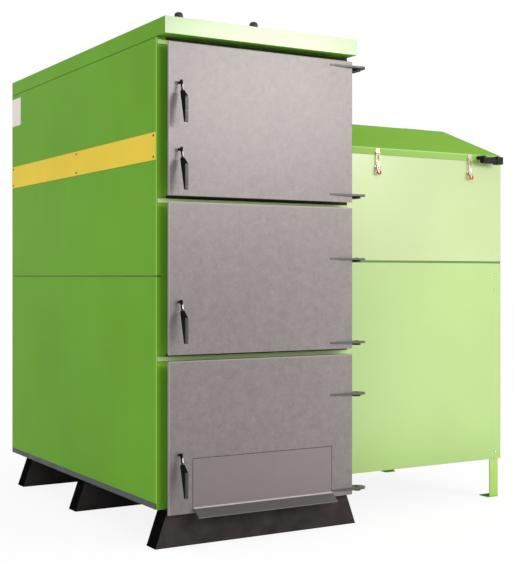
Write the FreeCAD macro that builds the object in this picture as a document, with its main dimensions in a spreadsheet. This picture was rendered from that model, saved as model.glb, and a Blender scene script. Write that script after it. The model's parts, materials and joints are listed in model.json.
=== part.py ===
# Pellet boiler with a side hopper, as a parametric assembly of separate sub-parts.
# Millimetres. +X is right, +Y is back, +Z is up. The origin is on the floor, under the middle foot.
import FreeCAD
import Part
import math
import os
from types import SimpleNamespace

import Sketcher

from FreeCAD import Placement, Rotation, Vector

# Driving dimensions
SIZES = {
    # Casing
    "case_width": 881, "front_reach": 818, "rear_reach": 871, "case_top": 1946,
    "foot_height": 141, "base_strip": 24, "base_bar": 60, "panel_sheet": 2,
    "panel_seam_height": 1032, "panel_seam": 2, "front_return": 20,
    "cover_height": 64, "cover_overhang": 72,
    # Feet, wider at the floor than at the top
    "foot_floor_width": 922, "foot_top_width": 822, "foot_depth": 80,
    "front_foot_reach": 808, "rear_foot_reach": 685,
    # Water jacket, from the insulation inwards
    "insulation": 48, "outer_plate": 6, "water_gap": 62, "floor_water": 44, "inner_plate": 10,
    "frame_plate": 12, "rail_height": 130, "divider": 12, "ledge": 20,
    "grate_rear": 0, "grate_clearance": 1, "grate_slot": 14, "grate_slot_pitch": 40, "grate_margin": 40,
    "gas_passage": 240, "tube_plate_front": 560, "tube_plate_rear": 600,
    "fire_tube_radius": 28, "fire_tube_wall": 4, "fire_tube_pitch": 100, "fire_tube_rise": 98.5,
    "tube_clearance": 0.3,
    "ash_pan_width": 560, "ash_pan_front": 780, "ash_pan_rear": 500, "ash_pan_height": 100,
    "ash_pan_wall": 3,
    # Doors
    "door_width": 844, "door_height": 581, "door_bottom": 129, "door_gap": 23,
    "door_plate": 9, "door_stand": 63, "rim_inset": 30, "latch_inset": 70, "rim_bar": 6,
    "seal_depth": 10, "seal_width": 12, "seal_clearance": 0.3,
    # Door hinges, each height counted from its own door's lower edge
    "pin_offset": 35, "pin_depth": 16, "pin_radius": 8, "pin_rise": 2, "running_fit": 0.05,
    "knuckle_radius": 35, "leaf_length": 145, "leaf_flap_gap": 5, "leaf_plate": 8, "leaf_gap": 0.3,
    "pintle_radius": 16, "arm_width": 48,
    "lower_hinge_low": 20, "lower_hinge_high": 412, "middle_hinge_low": 21, "middle_hinge_high": 366,
    "upper_hinge_low": 26, "upper_hinge_high": 556,
    # Door levers, each height counted from its own door's lower edge
    "lever_inset": 44, "lower_lever": 226, "middle_lever": 201, "upper_lever_low": 174,
    "upper_lever_high": 427, "shaft_radius": 4.5, "shaft_out": 24, "shaft_in": 30,
    "tongue_length": 28, "tongue_width": 14, "tongue_plate": 8, "tongue_droop": 20,
    "block_width": 8, "block_height": 17, "block_depth": 8, "neck_radius": 3.5, "neck_length": 34,
    "neck_seat": 6, "grip_stand": 64, "grip_shoulder": 25, "grip_drop": 155, "grip_foot": 10,
    "grip_width": 15, "grip_round": 2.5, "lever_lean": 13,
    "keeper_offset": 2, "keeper_stand": 8, "keeper_stand_rise": 14, "keeper_reach": 22, "keeper_nose": 8,
    "keeper_rise": 6.5, "keeper_height": 36, "keeper_depth": 46,
    # Air flap in the lower door
    "flap_width": 637, "flap_height": 186, "flap_rise": 20, "flap_plate": 8, "flap_seam": 2,
    "flap_pin_radius": 3, "flap_pin_drop": 5, "flap_pin_depth": 4.5, "flap_pin_end": 8,
    "lip_out": 48, "lip_down": 33, "lip_plate": 3, "lining_over_flap": 20,
    # Side trim
    "band_bottom": 1476, "band_height": 106, "band_front": 810, "trim_sheet": 1.5,
    "label_front": 741, "label_width": 125, "label_bottom": 1786, "label_height": 136,
    "screw_radius": 5, "screw_head": 2.5, "screw_edge": 12, "screw_front": 790, "screw_rear": 850,
    # Water and flue connections
    "riser_reach": 486, "riser_spread": 362, "riser_radius": 17, "riser_stand": 90,
    "pipe_wall": 3.5, "cap_radius": 19, "cap_skirt": 13, "hole_clearance": 0.5,
    "flue_radius": 125, "flue_wall": 4, "flue_step": 1, "flue_height": 1600, "flue_length": 120,
    "pipe_radius": 44.5, "pipe_side": 270, "flow_height": 1720, "return_height": 400,
    "flange_radius": 100, "flange_plate": 20, "flange_stand": 90, "bolt_circle": 160,
    "bolt_hole_radius": 9, "drain_radius": 17, "drain_height": 240, "drain_length": 40,
    # Pellet feed
    "feed_reach": 290, "feed_height": 800, "feed_radius": 62, "feed_wall": 7, "feed_inner_end": 230,
    "feed_inlet": 80, "screw_shaft_radius": 16, "screw_outer_radius": 50,
    "screw_pitch": 100, "screw_flight": 6, "screw_root": 1, "drive_shaft_radius": 12,
    "drive_shaft_length": 30, "drive_end_play": 1,
    "gearbox": 80, "gearbox_clearance": 3.5, "end_plate": 8, "motor_radius": 38, "motor_length": 120,
    # Hopper
    "hopper_gap": 41, "hopper_width": 910, "hopper_front": 715, "hopper_depth": 850,
    "hopper_bottom": 178, "hopper_seam": 1101, "hopper_front_top": 1563, "hopper_sheet": 2,
    "hopper_step": 2, "hopper_seam_gap": 10, "hopper_seam_tab": 20,
    "funnel_top": 1300, "funnel_mouth": 88, "funnel_end": 845,
    "ridge_reach": 293.5, "ridge_height": 1757, "lid_lip": 31, "lid_gap": 0.3, "lid_hinge_tab": 25,
    "lid_side_gap": 0.5, "lid_barrel_radius": 5, "lid_pin_radius": 3, "lid_knuckle": 60,
    "lid_top_gap": 6.5,
    "leg_width": 50, "leg_plate": 4, "leg_inset": 14, "leg_top": 1040, "leg_foot": 60,
    "left_leg_set_back": 90,
    "panel_screw_inset": 33,
    # Lid handle and toggle latches
    "handle_right_inset": 43, "handle_length": 113, "handle_radius": 15, "handle_stand": 45, "handle_rise": 2,
    "handle_post_radius": 9, "handle_block": 34,
    "latch_left_inset": 192, "latch_right_inset": 192, "latch_width": 28, "latch_plate": 2,
    "latch_height": 52, "latch_drop": 75, "latch_pin_height": 33, "latch_pin_stand": 6,
    "latch_pin_radius": 2, "latch_ear": 2, "lever_width": 14, "lever_plate": 2, "lever_length": 52,
    "lever_barrel_radius": 3.5, "bail_offset": 8, "bail_leg": 2, "bail_radius": 1.8, "bail_rise": 42,
    "bail_clearance": 0.5, "catch_width": 22, "catch_nose": 7, "catch_gap": 2.2, "catch_plate": 5,
}


class Size:
    """A length or an angle: its value now, and the sheet expression that it follows."""

    def __init__(self, value, text):
        self.value = value
        self.text = text

    def __add__(self, other):
        return Size(self.value + number(other), f"({self.text} + {written(other)})")

    def __radd__(self, other):
        return Size(number(other) + self.value, f"({written(other)} + {self.text})")

    def __sub__(self, other):
        return Size(self.value - number(other), f"({self.text} - {written(other)})")

    def __rsub__(self, other):
        return Size(number(other) - self.value, f"({written(other)} - {self.text})")

    def __mul__(self, other):
        return Size(self.value * number(other), f"({self.text} * {written(other)})")

    def __rmul__(self, other):
        return self * other

    def __truediv__(self, other):
        return Size(self.value / number(other), f"({self.text} / {written(other)})")

    def __neg__(self):
        return Size(-self.value, f"(-{self.text})")


def number(size):
    return size.value if isinstance(size, Size) else size


def written(size):
    return size.text if isinstance(size, Size) else str(size)


def sine(angle):
    return Size(math.sin(math.radians(number(angle))), f"sin({written(angle)})")


def cosine(angle):
    return Size(math.cos(math.radians(number(angle))), f"cos({written(angle)})")


def make_sheet(values):
    """Keep the driving dimensions in a spreadsheet, one named cell each."""
    sheet = doc.addObject("Spreadsheet::Sheet", "Sizes")
    names = SimpleNamespace()
    for row, (name, value) in enumerate(values.items(), start=1):
        sheet.set(f"A{row}", name)
        sheet.set(f"B{row}", str(value))
        sheet.setAlias(f"B{row}", name)
        setattr(names, name, Size(value, f"Sizes.{name}"))
    doc.recompute()
    return names


# Building blocks
TURN = {
    "x": Rotation(Vector(0, 1, 0), 90),
    "y": Rotation(Vector(1, 0, 0), -90),
    "z": Rotation(),
}


def bind(item, prop, size):
    item.setExpression(prop, written(size))


def place(item, base, rotation=None):
    """Put an object at a point, turned as given, and tie the point to the sheet."""
    item.Placement = Placement(Vector(), rotation or item.Placement.Rotation)
    for axis, size in zip("xyz", base):
        bind(item, f"Placement.Base.{axis}", size)
    return item


def centred(middle, half):
    return (middle - half, middle + half)


def slab(name, x, y, z):
    """A box between two values along each axis."""
    item = doc.addObject("Part::Box", name)
    for prop, (low, high) in zip(("Length", "Width", "Height"), (x, y, z)):
        bind(item, prop, high - low)
    return place(item, (x[0], y[0], z[0]))


def rod(name, axis, start, radius, length):
    """A cylinder from a start point along an axis."""
    item = doc.addObject("Part::Cylinder", name)
    bind(item, "Radius", radius)
    bind(item, "Height", length)
    return place(item, start, TURN[axis])


def lean_down(item, start):
    """Turn an upright primitive so that it runs down from a point, leaning out from the door."""
    place(item, start, Rotation(Vector(1, 0, 0), 180))
    bind(item, "Placement.Rotation.Angle", 180 - S.lever_lean)
    return item


def cut(name, base, tools):
    """One object less the others."""
    item = doc.addObject("Part::Cut", name)
    item.Base = base
    item.Tool = tools[0] if len(tools) == 1 else fuse(name + "_cutters", tools, False)
    return item


def fuse(name, items, refine=True):
    item = doc.addObject("Part::MultiFuse", name)
    item.Shapes = items
    item.Refine = refine
    return item


def group(name, items):
    """Separate solids that make one weldment or one set of equal pieces."""
    item = doc.addObject("Part::Compound", name)
    item.Links = items
    return item


def pipe(name, axis, start, radius, wall, length):
    """A round tube, open at both ends."""
    outside = rod(name + "_outside", axis, start, radius, length)
    inside = rod(name + "_inside", axis, start, radius - wall, length)
    return cut(name, outside, [inside])


def outline_pad(name, plane, points, start, length):
    """A body padded from a closed outline of straight edges, whose corners follow the sheet."""
    body = doc.addObject("PartDesign::Body", name)
    sketch = body.newObject("Sketcher::SketchObject", name + "_outline")
    support = next(item for item in body.Origin.OriginFeatures if item.Role == plane)
    sketch.AttachmentSupport = (support, [""])
    sketch.MapMode = "FlatFace"
    corners = [Vector(number(across), number(up), 0) for across, up in points]
    for index, corner in enumerate(corners):
        sketch.addGeometry(Part.LineSegment(corner, corners[(index + 1) % len(corners)]), False)
    for index in range(len(corners)):
        after = (index + 1) % len(corners)
        sketch.addConstraint(Sketcher.Constraint("Coincident", index, 2, after, 1))
    for index, point in enumerate(points):
        for kind, size in zip(("DistanceX", "DistanceY"), point):
            rule = Sketcher.Constraint(kind, -1, 1, index, 1, float(number(size)))
            bind(sketch, f"Constraints[{sketch.addConstraint(rule)}]", size)
    raised = body.newObject("PartDesign::Pad", name + "_pad")
    raised.Profile = sketch
    bind(raised, "Length", length)
    normal = {"XY_Plane": (0, 0, start), "XZ_Plane": (0, start, 0), "YZ_Plane": (start, 0, 0)}
    return place(body, normal[plane])


doc = FreeCAD.newDocument("pellet_boiler")
S = make_sheet(SIZES)

# Planes that several sub-parts share
side = S.case_width / 2
front = -S.front_reach
rear = S.rear_reach
base_top = S.foot_height + S.base_strip
panel_side = side - S.panel_sheet
jacket_side = panel_side - S.insulation
water_side = jacket_side - S.outer_plate
fire_outside = water_side - S.water_gap
fire_side = fire_outside - S.inner_plate
frame_front = front + S.panel_sheet
frame_back = frame_front + S.frame_plate
panel_rear = rear - S.panel_sheet
jacket_rear = panel_rear - S.insulation
water_rear = jacket_rear - S.outer_plate
fire_rear_outside = water_rear - S.water_gap
fire_rear = fire_rear_outside - S.inner_plate
riser_top = S.case_top + S.cover_height + S.riser_stand
jacket_top = S.case_top - S.insulation
water_top = jacket_top - S.outer_plate
fire_top_outside = water_top - S.water_gap
fire_top = fire_top_outside - S.inner_plate
fire_floor_outside = base_top + S.outer_plate + S.floor_water
fire_floor = fire_floor_outside + S.inner_plate
door_side = S.door_width / 2
door_front = front - S.door_stand
door_back = door_front + S.door_plate
pin_x = door_side + S.pin_offset
pin_y = door_front + S.pin_depth
door_step = S.door_height + S.door_gap
first_divider = S.door_bottom + S.door_height + S.door_gap / 2
second_divider = first_divider + door_step
hopper_left = side + S.hopper_gap
hopper_right = hopper_left + S.hopper_width
hopper_face = -S.hopper_front
hopper_rear = hopper_face + S.hopper_depth
feed_y = -S.feed_reach
feed_end = hopper_right - S.hopper_sheet - S.gearbox_clearance - S.gearbox - S.end_plate


def door_level(name):
    """The height of a door's lower edge."""
    return S.door_bottom + door_step * ("lower", "middle", "upper").index(name)


# Feet and base frame
def make_feet():
    low = S.foot_floor_width / 2
    top = S.foot_top_width / 2
    points = [(-low, 0), (low, 0), (top, S.foot_height), (-top, S.foot_height)]
    middles = {"front": -S.front_foot_reach, "middle": 0, "rear": S.rear_foot_reach}
    feet = [
        outline_pad(f"foot_{name}", "XZ_Plane", points, middle + S.foot_depth / 2, S.foot_depth)
        for name, middle in middles.items()
    ]
    return group("base_feet", feet)


def make_base_frame():
    """Four bars on the feet, behind the front frame's lower edge."""
    height = (S.foot_height, base_top)
    inner_front = frame_back + S.base_bar
    inner_rear = rear - S.base_bar
    inner_side = side - S.base_bar
    return group("base_frame", [
        slab("base_bar_front", (-side, side), (frame_back, inner_front), height),
        slab("base_bar_rear", (-side, side), (inner_rear, rear), height),
        slab("base_bar_left", (-side, -inner_side), (inner_front, inner_rear), height),
        slab("base_bar_right", (inner_side, side), (inner_front, inner_rear), height),
    ])


# Casing
def feed_hole(name, x):
    """A cutter for the feed tube's way through a wall."""
    return rod(name, "x", (x[0], feed_y, S.feed_height), S.feed_radius + S.hole_clearance, x[1] - x[0])


def make_side_panels():
    levels = {
        "lower": (base_top, S.panel_seam_height - S.panel_seam / 2),
        "upper": (S.panel_seam_height + S.panel_seam / 2, S.case_top),
    }
    turned = side - S.front_return
    for hand, sign in (("left", -1), ("right", 1)):
        points = [
            (sign * side, front), (sign * side, rear), (sign * panel_side, rear),
            (sign * panel_side, frame_front), (sign * turned, frame_front), (sign * turned, front),
        ]
        for level, (low, high) in levels.items():
            name = f"side_panel_{hand}_{level}"
            pierced = (hand, level) == ("right", "lower")
            sheet = outline_pad(name + "_sheet" if pierced else name, "XY_Plane", points, low, high - low)
            yield cut(name, sheet, [feed_hole(name + "_hole", (panel_side, side))]) if pierced else sheet


def rear_holes(name, y):
    """Cutters for the flue and the pipes that leave at the back."""
    depth = y[1] - y[0]
    pipe_hole = S.pipe_radius + S.hole_clearance
    flue_hole = S.flue_radius - S.flue_step + S.hole_clearance
    return [
        rod(name + "_flue_hole", "y", (0, y[0], S.flue_height), flue_hole, depth),
        rod(name + "_flow_hole", "y", (-S.pipe_side, y[0], S.flow_height), pipe_hole, depth),
        rod(name + "_return_hole", "y", (-S.pipe_side, y[0], S.return_height), pipe_hole, depth),
        rod(name + "_drain_hole", "y", (S.pipe_side, y[0], S.drain_height),
            S.drain_radius + S.hole_clearance, depth),
    ]


def make_rear_panel():
    depth = (panel_rear, rear)
    sheet = slab("rear_panel_sheet", (-panel_side, panel_side), depth, (base_top, S.case_top))
    return cut("rear_panel", sheet, rear_holes("rear_panel", depth))


def riser_holes(name, z):
    radius = S.riser_radius + S.hole_clearance
    return [
        rod(f"{name}_riser_hole_{hand}", "z", (sign * S.riser_spread / 2, -S.riser_reach, z[0]),
            radius, z[1] - z[0])
        for hand, sign in (("left", -1), ("right", 1))
    ]


def make_top_cover():
    """A folded cover: a closed nose over the doors, open underneath behind it."""
    top = S.case_top + S.cover_height
    nose = front - S.cover_overhang
    hollow_top = top - S.panel_sheet
    outside = slab("cover_outside", (-side, side), (nose, rear), (S.case_top, top))
    hollow = slab("cover_hollow", (-panel_side, panel_side), (nose + S.panel_sheet, panel_rear),
                  (S.case_top + S.panel_sheet, hollow_top))
    mouth = slab("cover_mouth", (-panel_side, panel_side), (frame_front, panel_rear),
                 (S.case_top, S.case_top + S.panel_sheet))
    return cut("top_cover", outside, [hollow, mouth] + riser_holes("cover", (hollow_top, top)))


def make_side_trim():
    face = -side - S.trim_sheet
    band_top = S.band_bottom + S.band_height
    band = slab("side_band", (face, -side), (-S.band_front, rear), (S.band_bottom, band_top))
    label = slab("blank_plate", (face, -side), (S.label_front, S.label_front + S.label_width),
                 (S.label_bottom, S.label_bottom + S.label_height))
    return [band, label]


def make_screws():
    """Round heads on the side band and on the hopper's lower front panel."""
    heads = []
    face = -side - S.trim_sheet - S.screw_head
    heights = {"low": S.band_bottom + S.screw_edge, "high": S.band_bottom + S.band_height - S.screw_edge}
    places = {"front": -S.screw_front, "middle": 0, "rear": S.screw_rear}
    for where, y in places.items():
        for level, z in heights.items():
            heads.append(rod(f"band_screw_{where}_{level}", "x", (face, y, z), S.screw_radius, S.screw_head))
    panel_face = lower_face - S.screw_head
    rows = (S.hopper_bottom + S.panel_screw_inset, S.hopper_seam - 4 * S.panel_screw_inset,
            S.hopper_seam - 2 * S.panel_screw_inset)
    columns = (hopper_left + S.panel_screw_inset, hopper_right - S.panel_screw_inset)
    for column, x in enumerate(columns):
        for row, z in enumerate(rows):
            heads.append(rod(f"panel_screw_{column}_{row}", "y", (x, panel_face, z),
                             S.screw_radius, S.screw_head))
    return group("screws", heads)


# Boiler body
def make_front_frame():
    """The plate that the doors close on, welded from two stiles and four rails."""
    depth = (frame_front, frame_back)
    height = (S.foot_height, S.case_top)
    half = S.rail_height / 2
    rails = {
        "bottom": (S.foot_height, fire_floor),
        "first": (first_divider - half, first_divider + half),
        "second": (second_divider - half, second_divider + half),
        "top": (fire_top, S.case_top),
    }
    stiles = [
        slab("frame_stile_left", (-panel_side, -fire_side), depth, height),
        slab("frame_stile_right", (fire_side, panel_side), depth, height),
    ]
    bars = [slab(f"frame_rail_{name}", (-fire_side, fire_side), depth, z) for name, z in rails.items()]
    return group("front_frame", stiles + bars)


def make_outer_shell():
    """The outer plates of the water jacket."""
    y = (frame_back, jacket_rear)
    wall = (base_top + S.outer_plate, water_top)
    right_x = (water_side, jacket_side)
    right = slab("jacket_right_plate", right_x, y, wall)
    back_y = (water_rear, jacket_rear)
    back = slab("jacket_rear_plate", (-water_side, water_side), back_y, wall)
    flue = rod("jacket_flue_hole", "y", (0, water_rear, S.flue_height),
               S.flue_radius - S.flue_step + S.hole_clearance, S.outer_plate)
    return group("outer_shell", [
        slab("jacket_floor", (-jacket_side, jacket_side), y, (base_top, base_top + S.outer_plate)),
        slab("jacket_top", (-jacket_side, jacket_side), y, (water_top, jacket_top)),
        slab("jacket_left", (-jacket_side, -water_side), y, wall),
        cut("jacket_right", right, [feed_hole("jacket_feed_hole", right_x)]),
        cut("jacket_rear", back, [flue]),
    ])


def tube_places():
    """Where the fire tubes run, with as many rows as the chamber's height takes."""
    first = second_divider + S.divider / 2 + S.fire_tube_rise
    rows = int(number((fire_top - first - S.fire_tube_radius) / S.fire_tube_pitch)) + 1
    for column in range(-2, 3):
        for row in range(rows):
            height = first + row * S.fire_tube_pitch
            yield f"{column + 3}_{row + 1}", column * S.fire_tube_pitch, height


def make_tube_plate(name, y):
    sheet = slab(name + "_sheet", (-fire_side, fire_side), y,
                 (second_divider + S.divider / 2, fire_top))
    radius = S.fire_tube_radius + S.tube_clearance
    holes = [
        rod(f"{name}_hole_{spot}", "y", (x, y[0], z), radius, y[1] - y[0])
        for spot, x, z in tube_places()
    ]
    return cut(name, sheet, holes)


def make_inner_shell():
    """The fire side: walls, dividers, ledges for the grate and the plates that hold the tubes."""
    y = (frame_back, fire_rear_outside)
    wall = (fire_floor, fire_top)
    across = (-fire_side, fire_side)
    right_x = (fire_side, fire_outside)
    right = slab("fire_right_plate", right_x, y, wall)
    back = slab("fire_rear_plate", across, (fire_rear, fire_rear_outside), wall)
    flue_start = (0, fire_rear, S.flue_height)
    flue = rod("fire_flue_hole", "y", flue_start, S.flue_radius - S.flue_wall, S.inner_plate)
    half = S.divider / 2
    lower = (first_divider - half, first_divider + half)
    upper = (second_divider - half, second_divider + half)
    ledge_z = (lower[0] - S.ledge, lower[0])
    ledge_y = (frame_back, S.grate_rear)
    front_plate = (-S.tube_plate_front, -S.tube_plate_front + S.inner_plate)
    rear_plate = (S.tube_plate_rear - S.inner_plate, S.tube_plate_rear)
    return group("inner_shell", [
        slab("fire_floor_plate", (-fire_outside, fire_outside), y, (fire_floor_outside, fire_floor)),
        slab("fire_top_plate", (-fire_outside, fire_outside), y, (fire_top, fire_top_outside)),
        slab("fire_left", (-fire_outside, -fire_side), y, wall),
        cut("fire_right", right, [feed_hole("fire_feed_hole", right_x)]),
        cut("fire_rear", back, [flue]),
        slab("lower_divider", across, (S.grate_rear, fire_rear), lower),
        slab("upper_divider", across, (frame_back, fire_rear - S.gas_passage), upper),
        slab("grate_ledge_left", (-fire_side, -fire_side + S.ledge), ledge_y, ledge_z),
        slab("grate_ledge_right", (fire_side - S.ledge, fire_side), ledge_y, ledge_z),
        make_tube_plate("tube_plate_front_sheet", front_plate),
        make_tube_plate("tube_plate_rear_sheet", rear_plate),
    ])


def make_fire_tubes():
    length = S.tube_plate_front + S.tube_plate_rear
    return group("fire_tubes", [
        pipe(f"fire_tube_{spot}", "y", (x, -S.tube_plate_front, z), S.fire_tube_radius,
             S.fire_tube_wall, length)
        for spot, x, z in tube_places()
    ])


def make_grate():
    """A slotted cast plate that lies on the ledges."""
    half = fire_side - S.grate_clearance
    y = (frame_back + S.grate_clearance, S.grate_rear - S.grate_clearance)
    z = (first_divider - S.divider / 2, first_divider + S.divider / 2)
    plate = slab("grate_plate", (-half, half), y, z)
    slot_y = (y[0] + S.grate_margin, y[1] - S.grate_margin)
    slots = []
    for index in range(-6, 7):
        x = index * S.grate_slot_pitch - S.grate_slot / 2
        slots.append(slab(f"grate_slot_{index + 7}", (x, x + S.grate_slot), slot_y, z))
    return cut("burner_grate", plate, slots)


def make_ash_pan():
    """A sheet tray, five plates folded and welded."""
    half = S.ash_pan_width / 2
    inner = (-half + S.ash_pan_wall, half - S.ash_pan_wall)
    y = (-S.ash_pan_front, S.ash_pan_rear)
    bottom = (fire_floor, fire_floor + S.ash_pan_wall)
    wall = (bottom[1], fire_floor + S.ash_pan_height)
    return group("ash_pan", [
        slab("pan_floor", (-half, half), y, bottom),
        slab("pan_left", (-half, -half + S.ash_pan_wall), y, wall),
        slab("pan_right", (half - S.ash_pan_wall, half), y, wall),
        slab("pan_front", inner, (y[0], y[0] + S.ash_pan_wall), wall),
        slab("pan_rear", inner, (y[1] - S.ash_pan_wall, y[1]), wall),
    ])


def make_insulation():
    y = (frame_back, panel_rear)
    wall = (base_top, jacket_top)
    top_z = (jacket_top, S.case_top)
    right_x = (jacket_side, panel_side)
    back_y = (jacket_rear, panel_rear)
    top = slab("insulation_top_slab", (-panel_side, panel_side), y, top_z)
    right = slab("insulation_right_slab", right_x, y, wall)
    back = slab("insulation_rear_slab", (-jacket_side, jacket_side), back_y, wall)
    return group("insulation", [
        slab("insulation_left", (-panel_side, -jacket_side), y, wall),
        cut("insulation_right", right, [feed_hole("insulation_feed_hole", right_x)]),
        cut("insulation_top", top, riser_holes("insulation", top_z)),
        cut("insulation_rear", back, rear_holes("insulation", back_y)),
    ])


# Water and flue connections
def make_flanged_pipe(name, z):
    """A pipe from the jacket with a bolting flange at its end."""
    face = rear + S.flange_stand
    start = (-S.pipe_side, jacket_rear, z)
    outside = rod(name + "_outside", "y", start, S.pipe_radius, face - jacket_rear)
    plate = rod(name + "_plate", "y", (-S.pipe_side, face - S.flange_plate, z),
                S.flange_radius, S.flange_plate)
    bore = rod(name + "_bore", "y", start, S.pipe_radius - S.pipe_wall, face - jacket_rear)
    cutters = [bore]
    for index in range(8):
        turn = 45 * index + 22.5
        x = S.bolt_circle / 2 * cosine(turn) - S.pipe_side
        up = S.bolt_circle / 2 * sine(turn) + z
        cutters.append(rod(f"{name}_bolt_hole_{index + 1}", "y", (x, face - S.flange_plate, up),
                           S.bolt_hole_radius, S.flange_plate))
    return cut(name, fuse(name + "_solid", [outside, plate]), cutters)


def make_water_connections():
    risers = [
        pipe(f"riser_{hand}", "z", (sign * S.riser_spread / 2, -S.riser_reach, jacket_top),
             S.riser_radius, S.pipe_wall, riser_top - jacket_top)
        for hand, sign in (("left", -1), ("right", 1))
    ]
    drain = pipe("drain_socket", "y", (S.pipe_side, jacket_rear, S.drain_height),
                 S.drain_radius, S.pipe_wall, rear + S.drain_length - jacket_rear)
    flow = make_flanged_pipe("flow_pipe", S.flow_height)
    back = make_flanged_pipe("return_pipe", S.return_height)
    return group("water_connections", risers + [flow, back, drain])


def make_riser_caps():
    """Domed caps on the two risers."""
    caps = []
    for hand, sign in (("left", -1), ("right", 1)):
        centre = (sign * S.riser_spread / 2, -S.riser_reach)
        skirt = rod(f"cap_skirt_{hand}", "z", (*centre, riser_top), S.cap_radius, S.cap_skirt)
        dome = doc.addObject("Part::Sphere", f"cap_dome_{hand}")
        bind(dome, "Radius", S.cap_radius)
        dome.Angle1 = 0
        place(dome, (*centre, riser_top + S.cap_skirt))
        caps.append(fuse(f"cap_{hand}", [skirt, dome]))
    return group("riser_caps", caps)


def make_flue_spigot():
    """A pipe from the smoke chamber that widens into the spigot behind the casing."""
    start = (0, fire_rear_outside, S.flue_height)
    inner_length = rear - fire_rear_outside
    neck = rod("flue_neck", "y", start, S.flue_radius - S.flue_step, inner_length)
    spigot = rod("flue_collar", "y", (0, rear, S.flue_height), S.flue_radius, S.flue_length)
    bore = rod("flue_bore", "y", start, S.flue_radius - S.flue_wall, inner_length + S.flue_length)
    return cut("flue_spigot", fuse("flue_solid", [neck, spigot]), [bore])


# Doors and their hinges
LEVERS = {
    "lower": (("lower_handle", "lower_lever"),),
    "middle": (("middle_handle", "middle_lever"),),
    "upper": (("upper_handle_low", "upper_lever_low"), ("upper_handle_high", "upper_lever_high")),
}
lever_x = -door_side + S.lever_inset


def lever_heights(door):
    """Each lever of a door, with the height of its shaft."""
    return [(name, door_level(door) + getattr(S, size)) for name, size in LEVERS[door]]


def hinge_heights(door):
    """The underside of each hinge leaf of a door."""
    low = door_level(door)
    return [low + getattr(S, f"{door}_hinge_{end}") for end in ("low", "high")]


rim_left = -door_side + S.latch_inset
rim_right = door_side - S.rim_inset
rim_back = frame_front - S.seal_clearance - S.seal_depth
flap_side = S.flap_width / 2
flap_bottom = S.door_bottom + S.flap_rise
flap_top = flap_bottom + S.flap_height
flap_pin_y = door_front + S.flap_pin_depth
flap_pin_z = flap_top - S.flap_pin_drop


def make_door_panel(door):
    """The front plate with its holes, and the rim bars welded behind it."""
    low = door_level(door)
    top = low + S.door_height
    depth = (door_front, door_back)
    plate = slab(f"{door}_door_sheet", (-door_side, door_side), depth, (low, top))
    cutters = [
        rod(f"{name}_bore", "y", (lever_x, door_front, z), S.shaft_radius + S.running_fit, S.door_plate)
        for name, z in lever_heights(door)
    ]
    if door == "lower":
        reach = flap_side + S.flap_seam + S.flap_pin_end
        cutters += [
            slab("flap_window", (-flap_side - S.flap_seam, flap_side + S.flap_seam), depth,
                 (flap_bottom - S.flap_seam, flap_top + S.flap_seam)),
            rod("flap_pin_bore", "x", (-reach, flap_pin_y, flap_pin_z), S.flap_pin_radius, 2 * reach),
        ]
    rim_y = (door_back, rim_back)
    rim_low = low + S.rim_inset
    rim_top = top - S.rim_inset
    inner = (rim_left + S.rim_bar, rim_right - S.rim_bar)
    return group(f"{door}_door_panel", [
        cut(f"{door}_door_plate", plate, cutters),
        slab(f"{door}_rim_left", (rim_left, inner[0]), rim_y, (rim_low, rim_top)),
        slab(f"{door}_rim_right", (inner[1], rim_right), rim_y, (rim_low, rim_top)),
        slab(f"{door}_rim_bottom", inner, rim_y, (rim_low, rim_low + S.rim_bar)),
        slab(f"{door}_rim_top", inner, rim_y, (rim_top - S.rim_bar, rim_top)),
    ])


def make_door_lining(door):
    """The insulating board inside the rim. In the lower door it stops above the air flap."""
    low = door_level(door) + S.rim_inset + S.rim_bar
    top = door_level(door) + S.door_height - S.rim_inset - S.rim_bar
    bottom = flap_top + S.lining_over_flap if door == "lower" else low
    return slab(f"{door}_door_lining", (rim_left + S.rim_bar, rim_right - S.rim_bar),
                (door_back, rim_back), (bottom, top))


def make_door_seal(door):
    """A rope seal on the rim's edge, just clear of the front frame."""
    y = (rim_back, rim_back + S.seal_depth)
    low = door_level(door) + S.rim_inset
    top = door_level(door) + S.door_height - S.rim_inset
    outside = slab(f"{door}_seal_outside", (rim_left, rim_right), y, (low, top))
    inside = slab(f"{door}_seal_inside", (rim_left + S.seal_width, rim_right - S.seal_width), y,
                  (low + S.seal_width, top - S.seal_width))
    return cut(f"{door}_door_seal", outside, [inside])


def leaf_tip(door, end):
    """Where a leaf's thin end lies on the door's face. The lowest leaf begins beside the air flap."""
    if (door, end) == ("lower", "low"):
        return flap_side + S.leaf_flap_gap
    return pin_x - S.leaf_length


def make_hinge_leaves(door):
    """Two flat tapered leaves that stand out from the door's face and turn on the pins."""
    leaves = []
    for end, z in zip(("low", "high"), hinge_heights(door)):
        name = f"{door}_leaf_{end}"
        points = [(leaf_tip(door, end), door_front), (pin_x, door_front),
                  (pin_x, pin_y - S.knuckle_radius)]
        plate = outline_pad(name + "_plate", "XY_Plane", points, z, S.leaf_plate)
        knuckle = rod(name + "_knuckle", "z", (pin_x, pin_y, z), S.knuckle_radius, S.leaf_plate)
        bore = rod(name + "_bore", "z", (pin_x, pin_y, z), S.pin_radius + S.running_fit, S.leaf_plate)
        leaves.append(cut(name, fuse(name + "_solid", [plate, knuckle]), [bore]))
    return group(f"{door}_hinge_leaves", leaves)


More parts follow.
